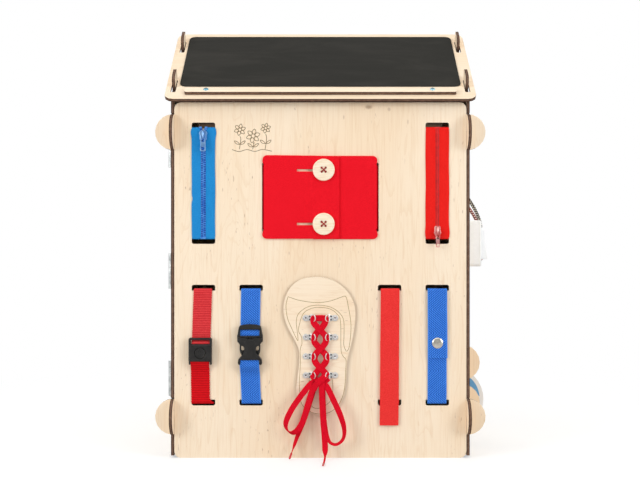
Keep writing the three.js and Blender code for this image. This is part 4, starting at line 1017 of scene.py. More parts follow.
def feltSheet(columns, depthAt, topAt, bottomAt, slits):
    # A sheet of columns at given X, closed into a solid with soft edges; slits are (left, right, low, high).
    heights = {-1 + 2 * step / felt["rows"] for step in range(felt["rows"] + 1)}
    full = (felt["top"] - felt["bottom"]) / 2
    for _, _, low, high in slits:
        heights |= {(low - feltMiddle) / full, (high - feltMiddle) / full}
    rows = sorted(heights)
    work = bmesh.new()
    grid = []
    for x in columns:
        column = []
        for share in rows:
            z = feltMiddle + (topAt(x) - feltMiddle if share > 0 else feltMiddle - bottomAt(x)) * share
            column.append(work.verts.new((drawnIn(x, z), depthAt(x, z), z)))
        grid.append(column)
    for i in range(len(columns) - 1):
        for j in range(len(rows) - 1):
            x = (columns[i] + columns[i + 1]) / 2
            z = feltMiddle + full * (rows[j] + rows[j + 1]) / 2
            if any(a < x < b and c < z < d for a, b, c, d in slits):
                continue
            work.faces.new((grid[i][j], grid[i + 1][j], grid[i + 1][j + 1], grid[i][j + 1]))
    mesh = bpy.data.meshes.new("felt")
    work.to_mesh(mesh)
    work.free()
    return mesh


def thickened(mesh, thickness, bevel):
    holder = bpy.data.objects.new("sheet", mesh)
    bpy.context.scene.collection.objects.link(holder)
    solid = holder.modifiers.new("thickness", "SOLIDIFY")
    solid.thickness = thickness
    solid.offset = 0
    edges = holder.modifiers.new("edges", "BEVEL")
    edges.width = bevel
    edges.segments = 2
    edges.limit_method = "ANGLE"
    edges.angle_limit = math.radians(50)
    bpy.context.view_layer.update()
    made = bpy.data.meshes.new_from_object(holder.evaluated_get(bpy.context.evaluated_depsgraph_get()))
    points = [tuple(v.co) for v in made.vertices]
    faces = [tuple(p.vertices) for p in made.polygons]
    bpy.data.objects.remove(holder)
    bpy.data.meshes.remove(made)
    return points, faces


def feltTongue(side):  # the part that goes through the slot
    low, high = feltMiddle - felt["slotHalf"], feltMiddle + felt["slotHalf"]
    x = side * felt["slot"]
    y, behind, lap, slimmer = felt["underY"], felt["behindY"], 6, 0.15
    line = eased([(x - side * lap, y), (x, y), (x, behind), (x + side * felt["tail"], behind)], felt["slotBend"])
    rings = []
    half = felt["thickness"] / 2 - slimmer
    for i, (a, b) in enumerate(line):
        nx, ny = sideways(*beside(line, i))
        rings.append([
            (a - nx * half, b - ny * half, low), (a + nx * half, b + ny * half, low),
            (a + nx * half, b + ny * half, high), (a - nx * half, b - ny * half, high),
        ])
    return skin(rings)


def overDepth(x, z):
    before, width = felt["climb"]
    ease = eased01(within((x - (felt["underEdge"] - before)) / width))
    ripple = 0.16 * math.sin(x * 0.07 + 1) * math.sin(z * 0.05)
    return felt["underY"] + (felt["overY"] - felt["underY"]) * ease - ripple * 0.6 - 0.05


def overTop(x):
    share = within((x - felt["leftEdge"]) / (felt["overEdge"] - felt["leftEdge"]))
    full = felt["top"] - felt["droop"] * share**2
    return feltMiddle + feltHalfHeight(x - felt["leftEdge"], full - feltMiddle)


def overBottom(x):
    return feltMiddle - feltHalfHeight(x - felt["leftEdge"], feltMiddle - felt["bottom"])


def underDepth(x, z):
    return felt["underY"] - 0.1 * math.sin(x * 0.06) * math.sin(z * 0.04)


def underTop(x):
    return feltMiddle + feltHalfHeight(felt["rightEdge"] - x, felt["top"] - felt["underTopGap"] - feltMiddle)


def underBottom(x):
    return feltMiddle - feltHalfHeight(felt["rightEdge"] - x, feltMiddle - felt["bottom"] + felt["underBottomDrop"])


slitLeft, slitRight, slitHeight = felt["slit"]
slits = []
for row in (-1, 1):
    z = feltMiddle + row * felt["buttonSpread"]
    slits.append((slitLeft, slitRight, z - slitHeight / 2, z + slitHeight / 2))

cornerSteps = [0, 0.25, 0.7, 1.3, 2.1, 3.1, 4.4, 6]
overColumns = [felt["leftEdge"] + step for step in cornerSteps]
for low, high, gap in (
    (felt["leftEdge"] + felt["corner"], slitLeft, 3), (slitLeft, slitRight, 2), (slitRight, felt["overEdge"], 3)
):
    overColumns += spaced(low, high, gap)[1:]
overMesh = feltSheet(overColumns, overDepth, overTop, overBottom, slits)
overFlap = together([thickened(overMesh, felt["thickness"], felt["bevel"]), feltTongue(-1)])
underColumns = spaced(felt["underEdge"], felt["rightEdge"] - felt["corner"], 4)
underColumns += [felt["rightEdge"] - step for step in reversed(cornerSteps[:-1])]
underMesh = feltSheet(underColumns, underDepth, underTop, underBottom, [])
underFlap = together([thickened(underMesh, felt["thickness"], felt["bevel"]), feltTongue(1)])
for name, shape, node, wide in (
    ("feltOverFlap", overFlap, "felt_top_flap", felt["overEdge"] - felt["leftEdge"] + felt["hidden"]),
    ("feltUnderFlap", underFlap, "felt_under_flap", felt["rightEdge"] - felt["underEdge"] + felt["hidden"]),
):
    piece = addPiece(name, shape, "redFelt", stands=[node], angle=60)
    wide * mm

button = {
    "x": 4.2,
    "radius": 14,
    "thickness": 3.4,
    "hole": 1.35,
    "spread": 2.6,
    "rimInset": 1.9,
    "rimHalf": 1.53,
    "rimRise": 0.55,
    "back": felt["overY"] - felt["thickness"] / 2 - 0.15,
    "thread": 0.62,
}

buttonLook = Look("buttonWood")
turnedRings = buttonLook.noise((60, 60, 900), 3, 0.6, 0.4)
buttonTone = buttonLook.mix(turnedRings.from0to1(0.35, 0.75), paint(253, 238, 214), paint(240, 214, 176))
looks["buttonWood"] = buttonLook.finish(buttonTone, 0.42, turnedRings, 0.00015, 0.3, coatWeight=0.15)

threadLook = Look("thread")
# painted shade: the colour darkens between the twisted plies, along with the bump
twist = (threadLook.along((0.7, 0, 0.7)) + threadLook.along((0.3, 0, -0.9)) * 0.2).wave(0.0007)
looks["thread"] = threadLook.finish(threadLook.mix(twist, paint(120, 14, 18), paint(196, 44, 40)), 0.8, twist, 0.0002)

for row, name in ((1, "upper"), (-1, "lower")):
    z = feltMiddle + row * felt["buttonSpread"]
    front, back = button["back"] - button["thickness"], button["back"]
    spots = [(dx * button["spread"], dz * button["spread"]) for dx, dz in ((-1, -1), (1, -1), (1, 1), (-1, 1))]
    holes = [circle(x, h, button["hole"], 14) for x, h in spots]
    disc = plate(circle(0, 0, button["radius"], 72), front + 0.35, back, 0.75, holes, 3)
    rim = []
    for step in range(13):
        angle = 2 * math.pi * step / 12
        radius = button["radius"] - button["rimInset"] + button["rimHalf"] * math.cos(angle)
        rim.append((radius, front + 0.75 - button["rimRise"] * math.sin(angle)))
    ring = turned(rim, 0, 0, 72, capped=False)
    whole = moved(together([disc, ring]), button["x"], 0, z)
    addPiece("button." + name, whole, "buttonWood", stands=["felt_button_" + name], angle=50)
    stitches = []
    for index, ((ax, az), (bx, bz)) in enumerate(((spots[0], spots[2]), (spots[1], spots[3]))):
        lift = 0.55 + 0.8 * index
        line = curveThrough([
            (ax, front + 2.0, az), (ax * 0.92, front + 0.3, az * 0.92), (ax * 0.4, front - lift * 0.6, az * 0.4),
            (bx * 0.4, front - lift * 0.6, bz * 0.4), (bx * 0.92, front + 0.3, bz * 0.92), (bx, front + 2.0, bz),
        ], 5)
        stitches.append(tube(line, button["thread"], 8))
    addPiece("buttonThread." + name, moved(together(stitches), button["x"], 0, z), "thread")

print("felt done")


# Webbing straps

webbing = {
    "thickness": 1.4,
    "middleY": -1.05,
    "behindY": 5.05,
    "outerY": -2.95,
    "topZ": 216.2,
    "bottomZ": 69.9,
    "rootY": 1.5,  # where a strap that lifts starts in its slot
    "tail": 14,
    "bend": 1.9,
    "gap": 0.75,
    "ribs": (3.0, 0.2, 0.45),
}


def slottedStrap(z, firstX, lastX, ends, width, rib=None, flare=0):
    # From its tail behind the panel through the slot at a height, and on to its ends of (Y, Z).
    way = 1 if ends[-1][1] > z else -1
    behind = webbing["behindY"]
    corners = [(0, behind, z + way * webbing["tail"]), (0, behind, z), (0, webbing["middleY"], z)]
    line = evenly(eased(corners + [(0, *end) for end in ends], webbing["bend"]), webbing["gap"])
    reach = ends[-1][1] - z
    path = [(y, h, firstX + (lastX - firstX) * within((h - z) / reach)) for _, y, h in line]
    return strap(path, width, webbing["thickness"], rib, flare)


def liftingStrap(firstX, lastX, endZ, width):
    top, outer = webbing["topZ"], webbing["outerY"]
    corners = [(firstX, webbing["rootY"], top), (firstX, outer, top), (lastX, outer, endZ)]
    line = evenly(eased(corners, webbing["bend"]), webbing["gap"])
    return strap([(y, z, x) for x, y, z in line], width, webbing["thickness"])


topZ, bottomZ, flatY, ribs = (webbing[key] for key in ("topZ", "bottomZ", "middleY", "ribs"))
ribbedUpperEnds = [(flatY, 157), (-1.4, 152.5), (-5.0, 148.2), (-5.2, 145.4)]
ribbedLowerEnds = [(flatY, 108), (-1.8, 113), (-6.4, 121), (-6.6, 125.4)]
clipUpperEnds = [(flatY, 174), (flatY, 169), (-5.8, 164.0), (-6.8, 160), (-6.0, 156.6), (-3.8, 155.2)]
clipLowerEnds = [(flatY, 104), (-2.6, 110), (-7.4, 117), (-8, 121), (-7.8, 125.4), (-6.4, 128)]
for name, shape, look, body, slot, node in (
    (
        "ribbedStrap.upper", slottedStrap(topZ, -150.2, -152.6, ribbedUpperEnds, 24.0, ribs),
        "glossyWebbing", "house", "red_webbing", "ribbed_strap_upper",
    ),
    (
        "ribbedStrap.lower", slottedStrap(bottomZ, -153.1, -153.7, ribbedLowerEnds, 24.3, ribs, 5),
        "ribbedWebbing", "house", "red_webbing", "ribbed_strap_lower",
    ),
    (
        "twillStrap.clipUpper", slottedStrap(topZ, -88.8, -89.9, clipUpperEnds, 24.9),
        "twillWebbing", "house", "blue_webbing", "clip_strap_upper",
    ),
    (
        "twillStrap.clipLower", slottedStrap(bottomZ, -88.2, -90.6, clipLowerEnds, 24.9),
        "twillWebbing", "house", "blue_webbing", "clip_strap_lower",
    ),
    (
        "hookLoopStrap.upper", liftingStrap(89.2, 87.8, 42, 24.0),
        "hookLoop", "hook_loop_flap", "hook_loop_tape", "hook_loop_strap_upper",
    ),
    (
        "hookLoopStrap.lower", slottedStrap(bottomZ, 88.6, 88.4, [(flatY, 150)], 23.8),
        "hookLoop", "house", "hook_loop_tape", "hook_loop_strap_lower",
    ),
    (
        "studStrap.upper", liftingStrap(149.4, 149.9, 127.7, 25.0),
        "twillWebbing", "stud_flap", "blue_webbing", "stud_strap_upper",
    ),
    (
        "studStrap.lower", slottedStrap(bottomZ, 149.2, 149.6, [(flatY, 158)], 24.4),
        "twillWebbing", "house", "blue_webbing", "stud_strap_lower",
    ),
):
    addPiece(name, shape, look, body, [node])

# Press stud

stud = {"x": 149.6, "z": 147.3, "radius": 7.1, "dome": 2.0}
studBack = webbing["outerY"] - webbing["thickness"] / 2
profile = [(0.001, studBack + 0.2), (stud["radius"] - 0.7, studBack + 0.2)]
for step in range(5):
    angle = math.pi * step / 4
    profile.append((stud["radius"] - 0.55 + 0.55 * math.sin(angle), studBack - 0.35 + 0.4 * math.cos(angle)))
for step in range(1, 11):
    angle = math.pi / 2 * step / 10
    radius = (stud["radius"] - 0.7) * math.cos(angle)
    profile.append((max(radius, 0.001), studBack - 0.75 - (stud["dome"] - 0.75) * math.sin(angle)))
addPiece("studCap", turned(profile, stud["x"], stud["z"], 48), "nickel", "stud_flap", ["stud_cap"])

print("straps done")


# Centre-push buckle


def addBuckle(name, parts, x, node, body="house"):
    addPiece(name, moved(together(parts), x), "blackPlastic", body, [node])


push = {
    "x": -153.0,
    "back": -2.1,
    "thickness": 7.4,
    "halfWidth": 14.7,
    "bodyBottom": 124.0,
    "bodyTop": 145.4,
    "armBottom": 119.9,
    "frameTop": 154.1,
    "windowHalf": 12.2,
    "tongueHalf": 9.6,
    "button": (134.6, 6.6),  # height and radius
}
front = push["back"] - push["thickness"]
half = push["halfWidth"]
buttonZ, buttonRadius = push["button"]
bodyOutline = roundedBox(-half, push["bodyBottom"], half, push["bodyTop"], 2.0)
bodyParts = [plate(bodyOutline, front, push["back"], 0.8, [circle(0, buttonZ, buttonRadius + 0.35, 40)], 3)]
for side in (-1, 1):
    arm = onSide(side, roundedBox(half - 2.3, push["armBottom"], half - 0.1, push["bodyBottom"] + 4, 1.0, 5))
    bodyParts.append(plate(arm, push["back"] - 5.4, push["back"], 0.5, steps=3))
lipLine = roundedBox(-half + 0.5, push["bodyTop"] - 1.9, half - 0.5, push["bodyTop"] - 0.8, 0.4, 3)
bodyParts.append(plate(lipLine, front - 0.3, front + 0.8, 0.25))
addBuckle("pushBuckleBody", bodyParts, push["x"], "push_buckle_body")

frameOutline = roundedBox(-half - 0.1, push["bodyTop"] - 3.8, half + 0.1, push["frameTop"], 2.2)
opening = push["windowHalf"]
windowLine = roundedBox(-opening, push["bodyTop"] + 0.9, opening, push["frameTop"] - 2.7, 1.0)
frameParts = [plate(frameOutline, push["back"] - 5.6, push["back"] - 0.3, 0.35, [windowLine], 3)]
tongue = roundedBox(-push["tongueHalf"], push["bodyTop"] - 12, push["tongueHalf"], push["bodyTop"] + 0.6, 1.0)
frameParts.append(plate(tongue, push["back"] - 3.4, push["back"] - 1.0, 0.3))
addBuckle("pushBuckleFrame", frameParts, push["x"], "push_buckle_frame")

profile = [
    (0.001, front + 1.6), (buttonRadius - 0.05, front + 1.6), (buttonRadius - 0.05, front - 0.1),
    (buttonRadius - 0.5, front - 0.5),
]
for step in range(1, 8):
    share = step / 7
    profile.append((max((buttonRadius - 0.5) * (1 - share), 0.001), front - 0.5 + 0.55 * math.sin(share * math.pi / 2)))
knob = [turned(profile, 0, buttonZ, 48)]
for x, z in ((-2.2, 1.6), (0, 2.1), (2.2, 1.6), (-2.2, -1.4), (0, -1.9), (2.2, -1.4)):
    knob.append(plate(circle(x, buttonZ + z, 0.75, 12), front - 0.45, front + 0.4, 0.2))
addBuckle("pushBuckleButton", knob, push["x"], "push_buckle_button", "push_button")


# Side-release buckle

clip = {"x": -89.6, "back": -2.1, "thickness": 7.9, "split": 155.1}
front = clip["back"] - clip["thickness"]
split = clip["split"]
foot = [(12.2, 126.0), (12.3, 121.0), (13.2, 119.6), (14.9, 120.6)]
stem = curveThrough([
    (15.3, 123.2), (14.6, 127.0), (11.6, 130.6), (9.0, 133.2), (7.6, 136.2),
    (7.3, 139.6), (7.9, 142.4), (10.0, 143.9), (12.4, 144.6),
], 4)
shoulders = curveThrough([(13.3, 146.2), (14.9, 148.6), (15.4, 151.0), (15.3, split - 1.6)], 3) + [(14.6, split - 0.8)]
mouth = [(6.4, split - 0.8), (5.0, split - 1.9), (0, split - 2.8)]
clipBody = [plate(bothSides(foot + stem + shoulders + mouth), front, clip["back"], 0.55, steps=3)]
clipBody.append(plate(roundedBox(-13.2, 119.8, 13.2, 122.2, 0.8, 4), -5.4, clip["back"] - 0.2, 0.5))
for side in (-1, 1):
    web = onSide(side, roundedBox(7.2, 131.5, 11.4, 138.0, 0.4, 2))
    clipBody.append(plate(web, -3.6, clip["back"] - 0.1, 0.2))
dish = curveThrough([(4.2, 128.4), (5.2, 131), (5.0, 140), (6.4, 147), (6.6, 150), (0.01, 151.3)], 3)
clipBody.append(plate(bothSides(dish), front - 0.25, front + 1.2, 0.25))
addBuckle("clipBuckleBody", clipBody, clip["x"], "clip_buckle_body")

plugRight = [
    (6.8, split - 0.4), (15.0, split - 0.4), (16.2, split + 0.6), (16.2, split + 2.4), (15.6, split + 3.6),
    (15.1, 163), (13.8, 168.5), (12.4, 169.9), (7, 171.0), (0, 171.5),
]
plugWindow = bothSides([(12.2, 156.7), (12.6, 157.2), (12.4, 164.2), (12.0, 164.7)])
plug = [plate(bothSides(plugRight), front + 0.9, clip["back"] - 0.6, 0.5, [plugWindow], 3)]
plug.append(plate(roundedBox(-2.8, 137.2, 2.8, split + 1, 0.8, 4), -6.9, -4.4, 0.3))
for side in (-1, 1):
    wing = [(15.5, 148.4), (16.3, 150), (16.3, split + 1.2), (14.9, split + 1.2), (14.9, 150.6)]
    plug.append(plate(onSide(side, wing), -7.6, -3.4, 0.3))
    cheek = onSide(side, roundedBox(3.4, split - 1.6, 5.6, split + 0.9, 0.7, 4))
    plug.append(plate(cheek, front + 0.3, front + 3, 0.3))
addBuckle("clipBucklePlug", plug, clip["x"], "clip_buckle_plug")

prong = curveThrough([
    (8.2, split + 0.4), (8.4, 150), (10.5, 145.6), (11.2, 142.5), (11.1, 139.2), (9.6, 138.0),
    (9.3, 136.0), (10.0, 134.2), (11.2, 133.4), (12.3, 134.8), (13.1, 138.4), (13.2, 142.6),
    (12.9, 147.4), (11.4, 151), (11.0, split + 0.4),
], 4)
for side, name in ((-1, "left"), (1, "right")):
    arm = plate(onSide(side, prong), -7.1, -4.5, 0.5, steps=3)
    addBuckle("clipProng." + name, [arm], clip["x"], "clip_prong_" + name, name + "_prong")

print("buckles done")


# Shoe: engraved lines on its plate

shoe = {"front": -3.3, "line": 0.37}

for name, dark, light in (
    ("engraving", paint(158, 134, 84), paint(186, 160, 108)),
    ("darkEngraving", paint(120, 98, 66), paint(150, 128, 92)),
):
    look = Look(name)
    tone = look.noise(500, 2)
    looks[name] = look.finish(look.mix(tone, dark, light), 0.8, tone, 0.0001)


def fromPixels(line, y=0):  # places in the camera's picture, to millimetres at that depth
    middlePixel, perPixel = (320.35, 250), 1.28
    scale = perPixel * (view["distance"] + y) / view["distance"]
    return [((px - middlePixel[0]) * scale, view["height"] - (py - middlePixel[1]) * scale) for px, py in line]


def engraved(line, front, half, closed=False, steps=6):  # a shallow cut drawn as a fine strip
    curve = curveThrough(line, steps, closed)
    if closed:
        curve.append(curve[0])
    rings = []
    for i, (x, z) in enumerate(curve):
        nx, nz = (-step * half for step in sideways(*beside(curve, i)))
        rings.append([
            (x - nx, front, z - nz), (x, front - 0.05, z), (x + nx, front, z + nz), (x, front + 0.15, z),
        ])
    return skin(rings)


shoeLines = [
    [(288, 296.7), (300, 300.5), (316.7, 302.6), (330, 301), (343.5, 296.3)],
    [(288, 296.7), (286, 306), (287.5, 318), (292, 329), (297.7, 340.6), (297.4, 333), (296.2, 323)],
    [
        (296.2, 323), (297, 317), (300, 312), (308, 306.8), (319, 305.2), (331, 307.3), (340, 313.5), (343.7, 321),
        (344, 335), (343.8, 345), (346, 351),
    ],
    [(343.5, 296.3), (346, 297), (348, 305), (351, 325), (349.5, 345), (347.6, 350.5), (346, 351)],
    [
        (302.0, 344), (301.5, 337), (298.6, 331), (299.3, 325), (303, 314), (310, 309), (319, 307.3), (330, 309),
        (337, 314), (340.5, 321.5), (341, 349), (343, 356), (346, 360), (345.7, 370), (345, 384), (343, 395),
        (338.6, 404.6), (332, 411), (323.5, 413.9), (314, 413.2), (306, 409),
    ],
    [(302.0, 344), (300.2, 350), (300.4, 362), (299.5, 385), (301, 402), (306, 409)],
    [
        (331.9, 378.4), (332.8, 385), (332.5, 395), (330, 401.4), (324.8, 405.8), (318.5, 408.4), (312, 406.5),
        (308.4, 397), (308.3, 385), (309.5, 379.7),
    ],
]
addPiece(
    "shoeEngraving",
    together([engraved(fromPixels(line, shoe["front"]), shoe["front"] - 0.02, shoe["line"]) for line in shoeLines]),
    "engraving",
)

print("shoe done")


# Lace rings: a clip with its rivet and a bowed wire

ringSize = {
    "rows": [106.1, 130.3, 154.8, 179.2],
    "middleX": 0.1,
    "back": -3.6,
    "tab": 1.0,
    "tabEnd": 10.4,
    "tabHalf": 3.9,
    "rivetX": 18.6,
    "rivetHalf": 4.1,
    "sleeveX": 11.2,
    "sleeveHalf": 4.9,
    "wire": 0.62,
    "wireOut": 1.5,
    "bow": [(11.2, 0, 4.4), (9.4, 1.4, 4.6), (7.4, 4.2, 3.2), (6.4, 5.3, 0)],  # X, out and height of its upper half
}


def laceRing(side):
    size = ringSize
    neck = [(size["tabEnd"], size["tabHalf"]), (14.2, size["tabHalf"]), (15.6, 3.2)]
    outline = [(x, -z) for x, z in neck]
    for step in range(13):
        angle = math.radians(-100 + 200 * step / 12)
        outline.append((size["rivetX"] + size["rivetHalf"] * math.cos(angle), size["rivetHalf"] * math.sin(angle)))
    outline += neck[::-1]
    lip = size["back"] - size["tab"]
    parts = [plate(onSide(side, outline), lip, size["back"] - 0.02, 0.3, steps=3)]
    y = size["back"] - size["wireOut"]
    sleeve = [(side * size["sleeveX"], y, size["sleeveHalf"] * (k / 4 - 1)) for k in range(9)]
    parts.append(tube(sleeve, [1.25] + [1.5] * 7 + [1.25], 14))
    profile = [
        (0.001, lip + 0.4), (2.7, lip + 0.4), (2.7, lip - 0.35), (2.3, lip - 0.8), (1.5, lip - 0.85), (1.0, lip - 0.45),
        (0.9, lip + 0.1), (0.001, lip + 0.1),
    ]
    parts.append(turned(profile, side * size["rivetX"], 0, 24))
    bow = [(side * x, y - out, -rise) for x, out, rise in size["bow"]]
    bow += [(side * x, y - out, rise) for x, out, rise in size["bow"][-2::-1]]
    parts.append(tube(curveThrough(bow, 5), size["wire"], 8))
    return together(parts)


for side, name in ((-1, "left"), (1, "right")):
    for row, z in enumerate(ringSize["rows"], 1):
        ring = moved(laceRing(side), ringSize["middleX"], 0, z)
        addPiece(f"laceRing.{name}{row}", ring, "chrome", stands=[f"lace_ring_{name}_{row}"])
holes = []  # painted shade: a dark dot in each rivet's hollow, and two dark plates in the openings of its tab
for z in ringSize["rows"]:
    for side in (-1, 1):
        lip = ringSize["back"] - ringSize["tab"] - 0.3
        dot = [(0.001, lip + 0.7), (1.2, lip + 0.7), (1.2, lip), (0.7, lip + 0.15), (0.001, lip + 0.2)]
        holes.append(turned(dot, ringSize["middleX"] + side * ringSize["rivetX"], z, 16))
        for rise in (-2.1, 2.1):
            opening = roundedBox(12.3, rise - 0.9, 14.6, rise + 0.9, 0.7, 4)
            opening = [(ringSize["middleX"] + side * x, z + h) for x, h in opening]
            holes.append(plate(opening, ringSize["back"] - 2.0, ringSize["back"] - 0.4, 0.4))
addPiece("laceRingHoles", together(holes), "screwSlot")


# Lace between the rings

held = {"low": -7.5, "high": -8.8, "reach": 7.6, "width": 8.0}  # low and high: Y where two runs cross
rows = ringSize["rows"][::-1]
middles, reach = [-1.2, -0.3, 0.2, 0.3], held["reach"]
routes = [[(-8.4, -6.9, rows[0] - 0.6), (-4, -7.3, rows[0]), (3, -7.3, rows[0]), (6.6, -6.9, rows[0] - 0.6)]]
for i, z in enumerate(rows[:-1]):
    below, above, under = rows[i + 1], middles[i], middles[i + 1]
    crossing = (above + under) / 2
    for side in (-1, 1):
        over = side == (1 if i % 2 else -1)
        middleY = held["high" if over else "low"]
        routes.append([
            (above + side * (reach - 1.2), -6.5, z + 2.2),
            (above + side * reach, -7.2, z - 2),
            (above + side * (reach - 0.7), -7.6, z - 6.4),
            (crossing + side * 3.8, (middleY - 7.7) / 2, z - 10.8),
            (crossing, middleY, below + 9.6),
            (crossing - side * 4.4, (middleY - 7.8) / 2, below + 5.2),
            (under - side * (reach - 0.8), -7.7, below + 2),
            (under - side * (reach + 0.4), -7, below - 0.4),
        ])

# The last crossing, and the knot that holds the bow.
routes += [
    [(-8.8, -7.0, 107), (-8.5, -7.8, 104), (-6, -8.6, 101), (0, -9.2, 99), (6, -9, 99.5), (9.8, -8.2, 103)],
    [
        (7.4, -7.4, 110.5), (6.4, -8.4, 108), (4.5, -10.9, 104.5), (0.5, -13, 101), (-4.5, -13.2, 96.5),
        (-9.2, -11.4, 88.5),
    ],
]
bands = [band(curveThrough(route, 6), held["width"], lace["thickness"]) for route in routes]
addPiece("laceCrossings", together(bands), "redLace", stands=["lace_crossings"])

print("lace done")


# Hinge screws

hinge = {
    "middles": {"upper": 396.0, "middle": 239.0, "lower": 100.0},
    "wallLeafY": 12.0,
    "doorLeafY": 25.0,
    "leaf": 1.3,  # its thickness
    "spread": 15,
}
wallFace = (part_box("left_wall")[0].x - middleX) / mm
for name, z in hinge["middles"].items():
    doorBody = "lower_leaf" if name == "lower" else "upper_leaf"
    for leaf, y, body in (("wall", hinge["wallLeafY"], "house"), ("door", hinge["doorLeafY"], doorBody)):
        for part, shift in (("high", 1), ("low", -1)):
            spot = (wallFace - hinge["leaf"], y, z + shift * hinge["spread"])
            addScrew(f"hingeScrew.{name}.{leaf}.{part}", (-1, 0, 0), spot, body, "zinc")


# Light switch

switch = {
    "y": 91.0,
    "z": 275.0,
    "half": 31.0,
    "back": 191.5,
    "face": 215.5,
    "well": (20.3, 22.5),
    "rocker": (19.3, 21.2),
    "rockerRise": 9.7,  # at its lower end, over the cover
    "rockerDrop": 5.4,  # from there to its upper end
    "rockerHollow": 0.9,
}
box = roundedBox(-switch["half"], -switch["half"], switch["half"], switch["half"], 5, 8)
wellWide, wellHigh = switch["well"]
well = roundedBox(-wellWide, -wellHigh, wellWide, wellHigh, 2.2, 5)


def facingRight(shape):  # from facing the front to facing +X: the old depth runs towards the wall
    return [(-p[1], p[0], p[2]) for p in shape[0]], shape[1]


base = plate(box, -(switch["face"] - 4), -switch["back"], 0.8, steps=3)
cover = plate(box, -switch["face"], -(switch["face"] - 5), 2.8, [well], 5)
shell = moved(facingRight(together([base, cover])), 0, switch["y"], switch["z"])
addPiece("switchBox", shell, "whitePlastic", stands=["switch_box"])


def rocker():
    halfWide, halfHigh = switch["rocker"]
    rings = []
    for step in range(25):
        share = step / 24
        z = -halfHigh + 2 * halfHigh * share
        lift = switch["rockerRise"] - switch["rockerDrop"] * share - switch["rockerHollow"] * math.sin(share * math.pi)
        soft = min(1, min(share, 1 - share) * 14)
        wide = halfWide - 0.7 * (1 - soft)
        face = switch["face"] + lift + 0.6 * soft
        back = switch["face"] - 5.5
        rings.append([
            (back, -wide, z), (face - 1.0, -wide, z), (face - 0.3, -wide + 0.3, z), (face, -wide + 1.1, z),
            (face + 0.05, 0, z), (face, wide - 1.1, z), (face - 0.3, wide - 0.3, z), (face - 1.0, wide, z),
            (back, wide, z),
        ])
    return skin(rings)


rockerShape = moved(rocker(), 0, switch["y"], switch["z"])
addPiece("switchRocker", rockerShape, "whitePlastic", "rocker", ["switch_rocker"])


# Picture wheel: plain coloured fields on white laminate

wheel = {
    "x": 178.0,
    "y": 82.0,
    "z": 64.5,
    "inner": (0.0135, 0.0142),  # metres from the axle, where the print starts
    "outer": (0.0375, 0.0382),
    "fieldHalf": (0.066, 0.07),  # of a whole turn
    "hubs": {"front": (60.2, 1), "rear": (103.8, -1)},
}
wheelCentre = place((wheel["x"], wheel["y"], wheel["z"]))
wheelLook = Look("picturePrint")
spoke = wheelLook.vector("SUBTRACT", wheelLook.point(), tuple(wheelCentre))
side, rise = wheelLook.along(wayX, spoke), wheelLook.along(wayZ, spoke)
turn = side.maths("ARCTAN2", rise, side) * (1 / (2 * math.pi)) + 0.5
reach = wheelLook.vector("LENGTH", wheelLook.vector("MULTIPLY", spoke, (1, 0, 1)), (0, 0, 0), output=1)
printed = paint(250, 248, 244)
fieldColours = (
    paint(126, 190, 110), paint(236, 112, 92), paint(250, 206, 66),
    paint(72, 160, 216), paint(150, 120, 190), paint(248, 158, 70),
)
for index, tone in enumerate(fieldColours):
    middle = (index + 0.5) / len(fieldColours)
    field = 1 - (turn - middle).size().from0to1(*wheel["fieldHalf"])
    printed = wheelLook.mix(field, printed, tone)
inRing = reach.from0to1(*wheel["inner"]) * (1 - reach.from0to1(*wheel["outer"]))
grainy = wheelLook.noise(700, 2)
printed = wheelLook.mix(inRing * (0.82 + grainy * 0.18), paint(249, 246, 242), printed)
facing = wheelLook.along(wayY, wheelLook.node("TexCoord", output="Normal")).size().from0to1(0.5, 0.8)
rimTone = wheelLook.mix(grainy, wood["burnt"], wood["singed"])
looks["picturePrint"] = wheelLook.finish(wheelLook.mix(facing, rimTone, printed), 0.32, grainy, 0.0001, 0.1)
dress("picturePrint", "picture_wheel")
cap = [(0.001, 2.0), (4.4, 2.0), (5.2, 1.4), (5.2, -0.8), (4.2, -1.8), (2.0, -2.2), (0.001, -2.2)]
for name, (y, face) in wheel["hubs"].items():
    hub = turned([(r, y + face * h) for r, h in cap], wheel["x"], wheel["z"], 32)
    addPiece("wheelHub." + name, hub, "zinc", "wheel")

print("right wall done")


# A small engraving of three flowers on the front panel

flower = {
    "half": 0.42,
    "front": -0.02,
    "petals": 6,
    "heads": [(-103, 420, 7.5), (-86, 412, 9), (-70, 422, 6.5)],  # X, Z and size
    "eye": 0.28,  # of the size
    "petal": [(0.3, 0.3), (0.66, 0.42), (1, 0), (0.66, -0.42), (0.3, -0.3)],  # share of the size, and radians aside
    "leaf": [(0, 0), (3.4, 3.4), (7, 4.4), (4.6, 0.8), (0, 0)],
    "stemFoot": 395,
    "ground": [(-113, 394.5), (-104, 392), (-94, 394.5), (-84, 392.2), (-74, 394.6), (-62, 392.4)],
}
flowerLines = []


def carve(line, closed=False, steps=6):
    flowerLines.append(engraved(line, flower["front"], flower["half"], closed, steps))


for x, z, size in flower["heads"]:
    carve(circle(x, z, size * flower["eye"], 12), True, 2)
    for petal in range(flower["petals"]):
        angle = 2 * math.pi * petal / flower["petals"] + 0.3
        line = []
        for share, swing in flower["petal"]:
            line.append((x + size * share * math.cos(angle + swing), z + size * share * math.sin(angle + swing)))
        carve(line, steps=4)
    bottom = flower["stemFoot"]
    carve([(x, z - size - 0.8), (x + 1.2, (z + bottom) / 2), (x - 0.6, bottom)], steps=5)
    leafZ = bottom + (z - size - bottom) * 0.35
    for way in (-1, 1):
        carve([(x + way * out, leafZ + rise) for out, rise in flower["leaf"]], steps=4)
carve(flower["ground"])
addPiece("flowerEngraving", together(flowerLines), "darkEngraving")


# Floor, world and lamps

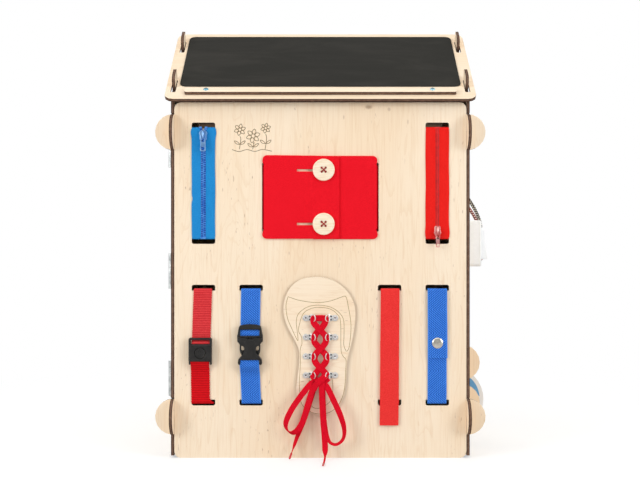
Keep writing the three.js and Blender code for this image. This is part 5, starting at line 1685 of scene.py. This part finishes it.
studio = {
    "world": 0.61,
    "glow": 0.45,
    "near": 0.35,  # the floor fades to white from here
    "far": 0.9,
    "floorHalf": 40,
    "target": (0, 0, 0.28),
    "lamps": {  # place, size and power
        "leftLamp": ((-1.7, -1.5, 0.9), (0.8, 1.4), 18.6),
        "rightLamp": ((1.7, -1.5, 0.9), (0.8, 1.4), 16.74),
        "topLamp": ((0, -0.6, 2.0), (1.6, 1.2), 6.2),
        "backLamp": ((0, 2.2, 1.2), (1.8, 1.2), 14.88),
    },
}

floorLook = Look("floor")
seen = floorLook.node("LightPath", output="Is Camera Ray")
apart = floorLook.vector("LENGTH", floorLook.point(), (0, 0, 0), output=1)
dustTone = floorLook.noise(3, 2)
floorTone = floorLook.mix(dustTone, paint(202, 202, 202), paint(206, 206, 206))
diffuse = floorLook.node("BsdfDiffuse", {}, {"Color": floorTone})
glow = floorLook.node("Emission", {}, {"Color": (1, 1, 1, 1), "Strength": studio["glow"]})
lit = floorLook.node("AddShader", {}, (diffuse, glow))
white = floorLook.node("Emission", {}, {"Color": (1, 1, 1, 1), "Strength": 1.0})
faded = floorLook.node("MixShader", {}, (apart.from0to1(studio["near"], studio["far"]), lit, white))
shown = floorLook.node("MixShader", {}, (seen, diffuse, faded))
floorLook.node("OutputMaterial", {}, {"Surface": shown})

floorMesh = bpy.data.meshes.new("floor")
edge = studio["floorHalf"]
floorMesh.from_pydata([(-edge, -edge, 0), (edge, -edge, 0), (edge, edge, 0), (-edge, edge, 0)], [], [(0, 1, 2, 3)])
floorMesh.materials.append(floorLook.material)
floor = bpy.data.objects.new("floor", floorMesh)
bpy.context.scene.collection.objects.link(floor)

world = bpy.data.worlds.new("world")
bpy.context.scene.world = world
sky = Look("world", world)
seen = sky.node("LightPath", output="Is Camera Ray")
seen = seen.most(sky.node("LightPath", output="Is Transmission Ray"))
shiny = sky.node("LightPath", output="Is Glossy Ray")
way = sky.along(wayY, sky.node("TexCoord", output="Generated"))
mirrored = way.from0to1(-0.95, -0.2) * 0.5 + 0.5  # dim behind the camera, for contrast in plastic and metal
strength = shiny * mirrored + (1 - shiny) * studio["world"]
strength = seen + (1 - seen) * strength
background = sky.node("Background", {}, {"Color": (1, 1, 1, 1), "Strength": strength})
sky.node("OutputWorld", {}, {"Surface": background})

for name, (spot, size, power) in studio["lamps"].items():
    data = bpy.data.lights.new(name, "AREA")
    data.shape = "RECTANGLE"
    data.size, data.size_y = size
    data.energy = power
    lamp = bpy.data.objects.new(name, data)
    lamp.location = spot
    lamp.rotation_euler = (Vector(studio["target"]) - Vector(spot)).to_track_quat("-Z", "Y").to_euler()
    bpy.context.scene.collection.objects.link(lamp)

bpy.context.scene.view_settings.view_transform = "Standard"

print("whole scene made")
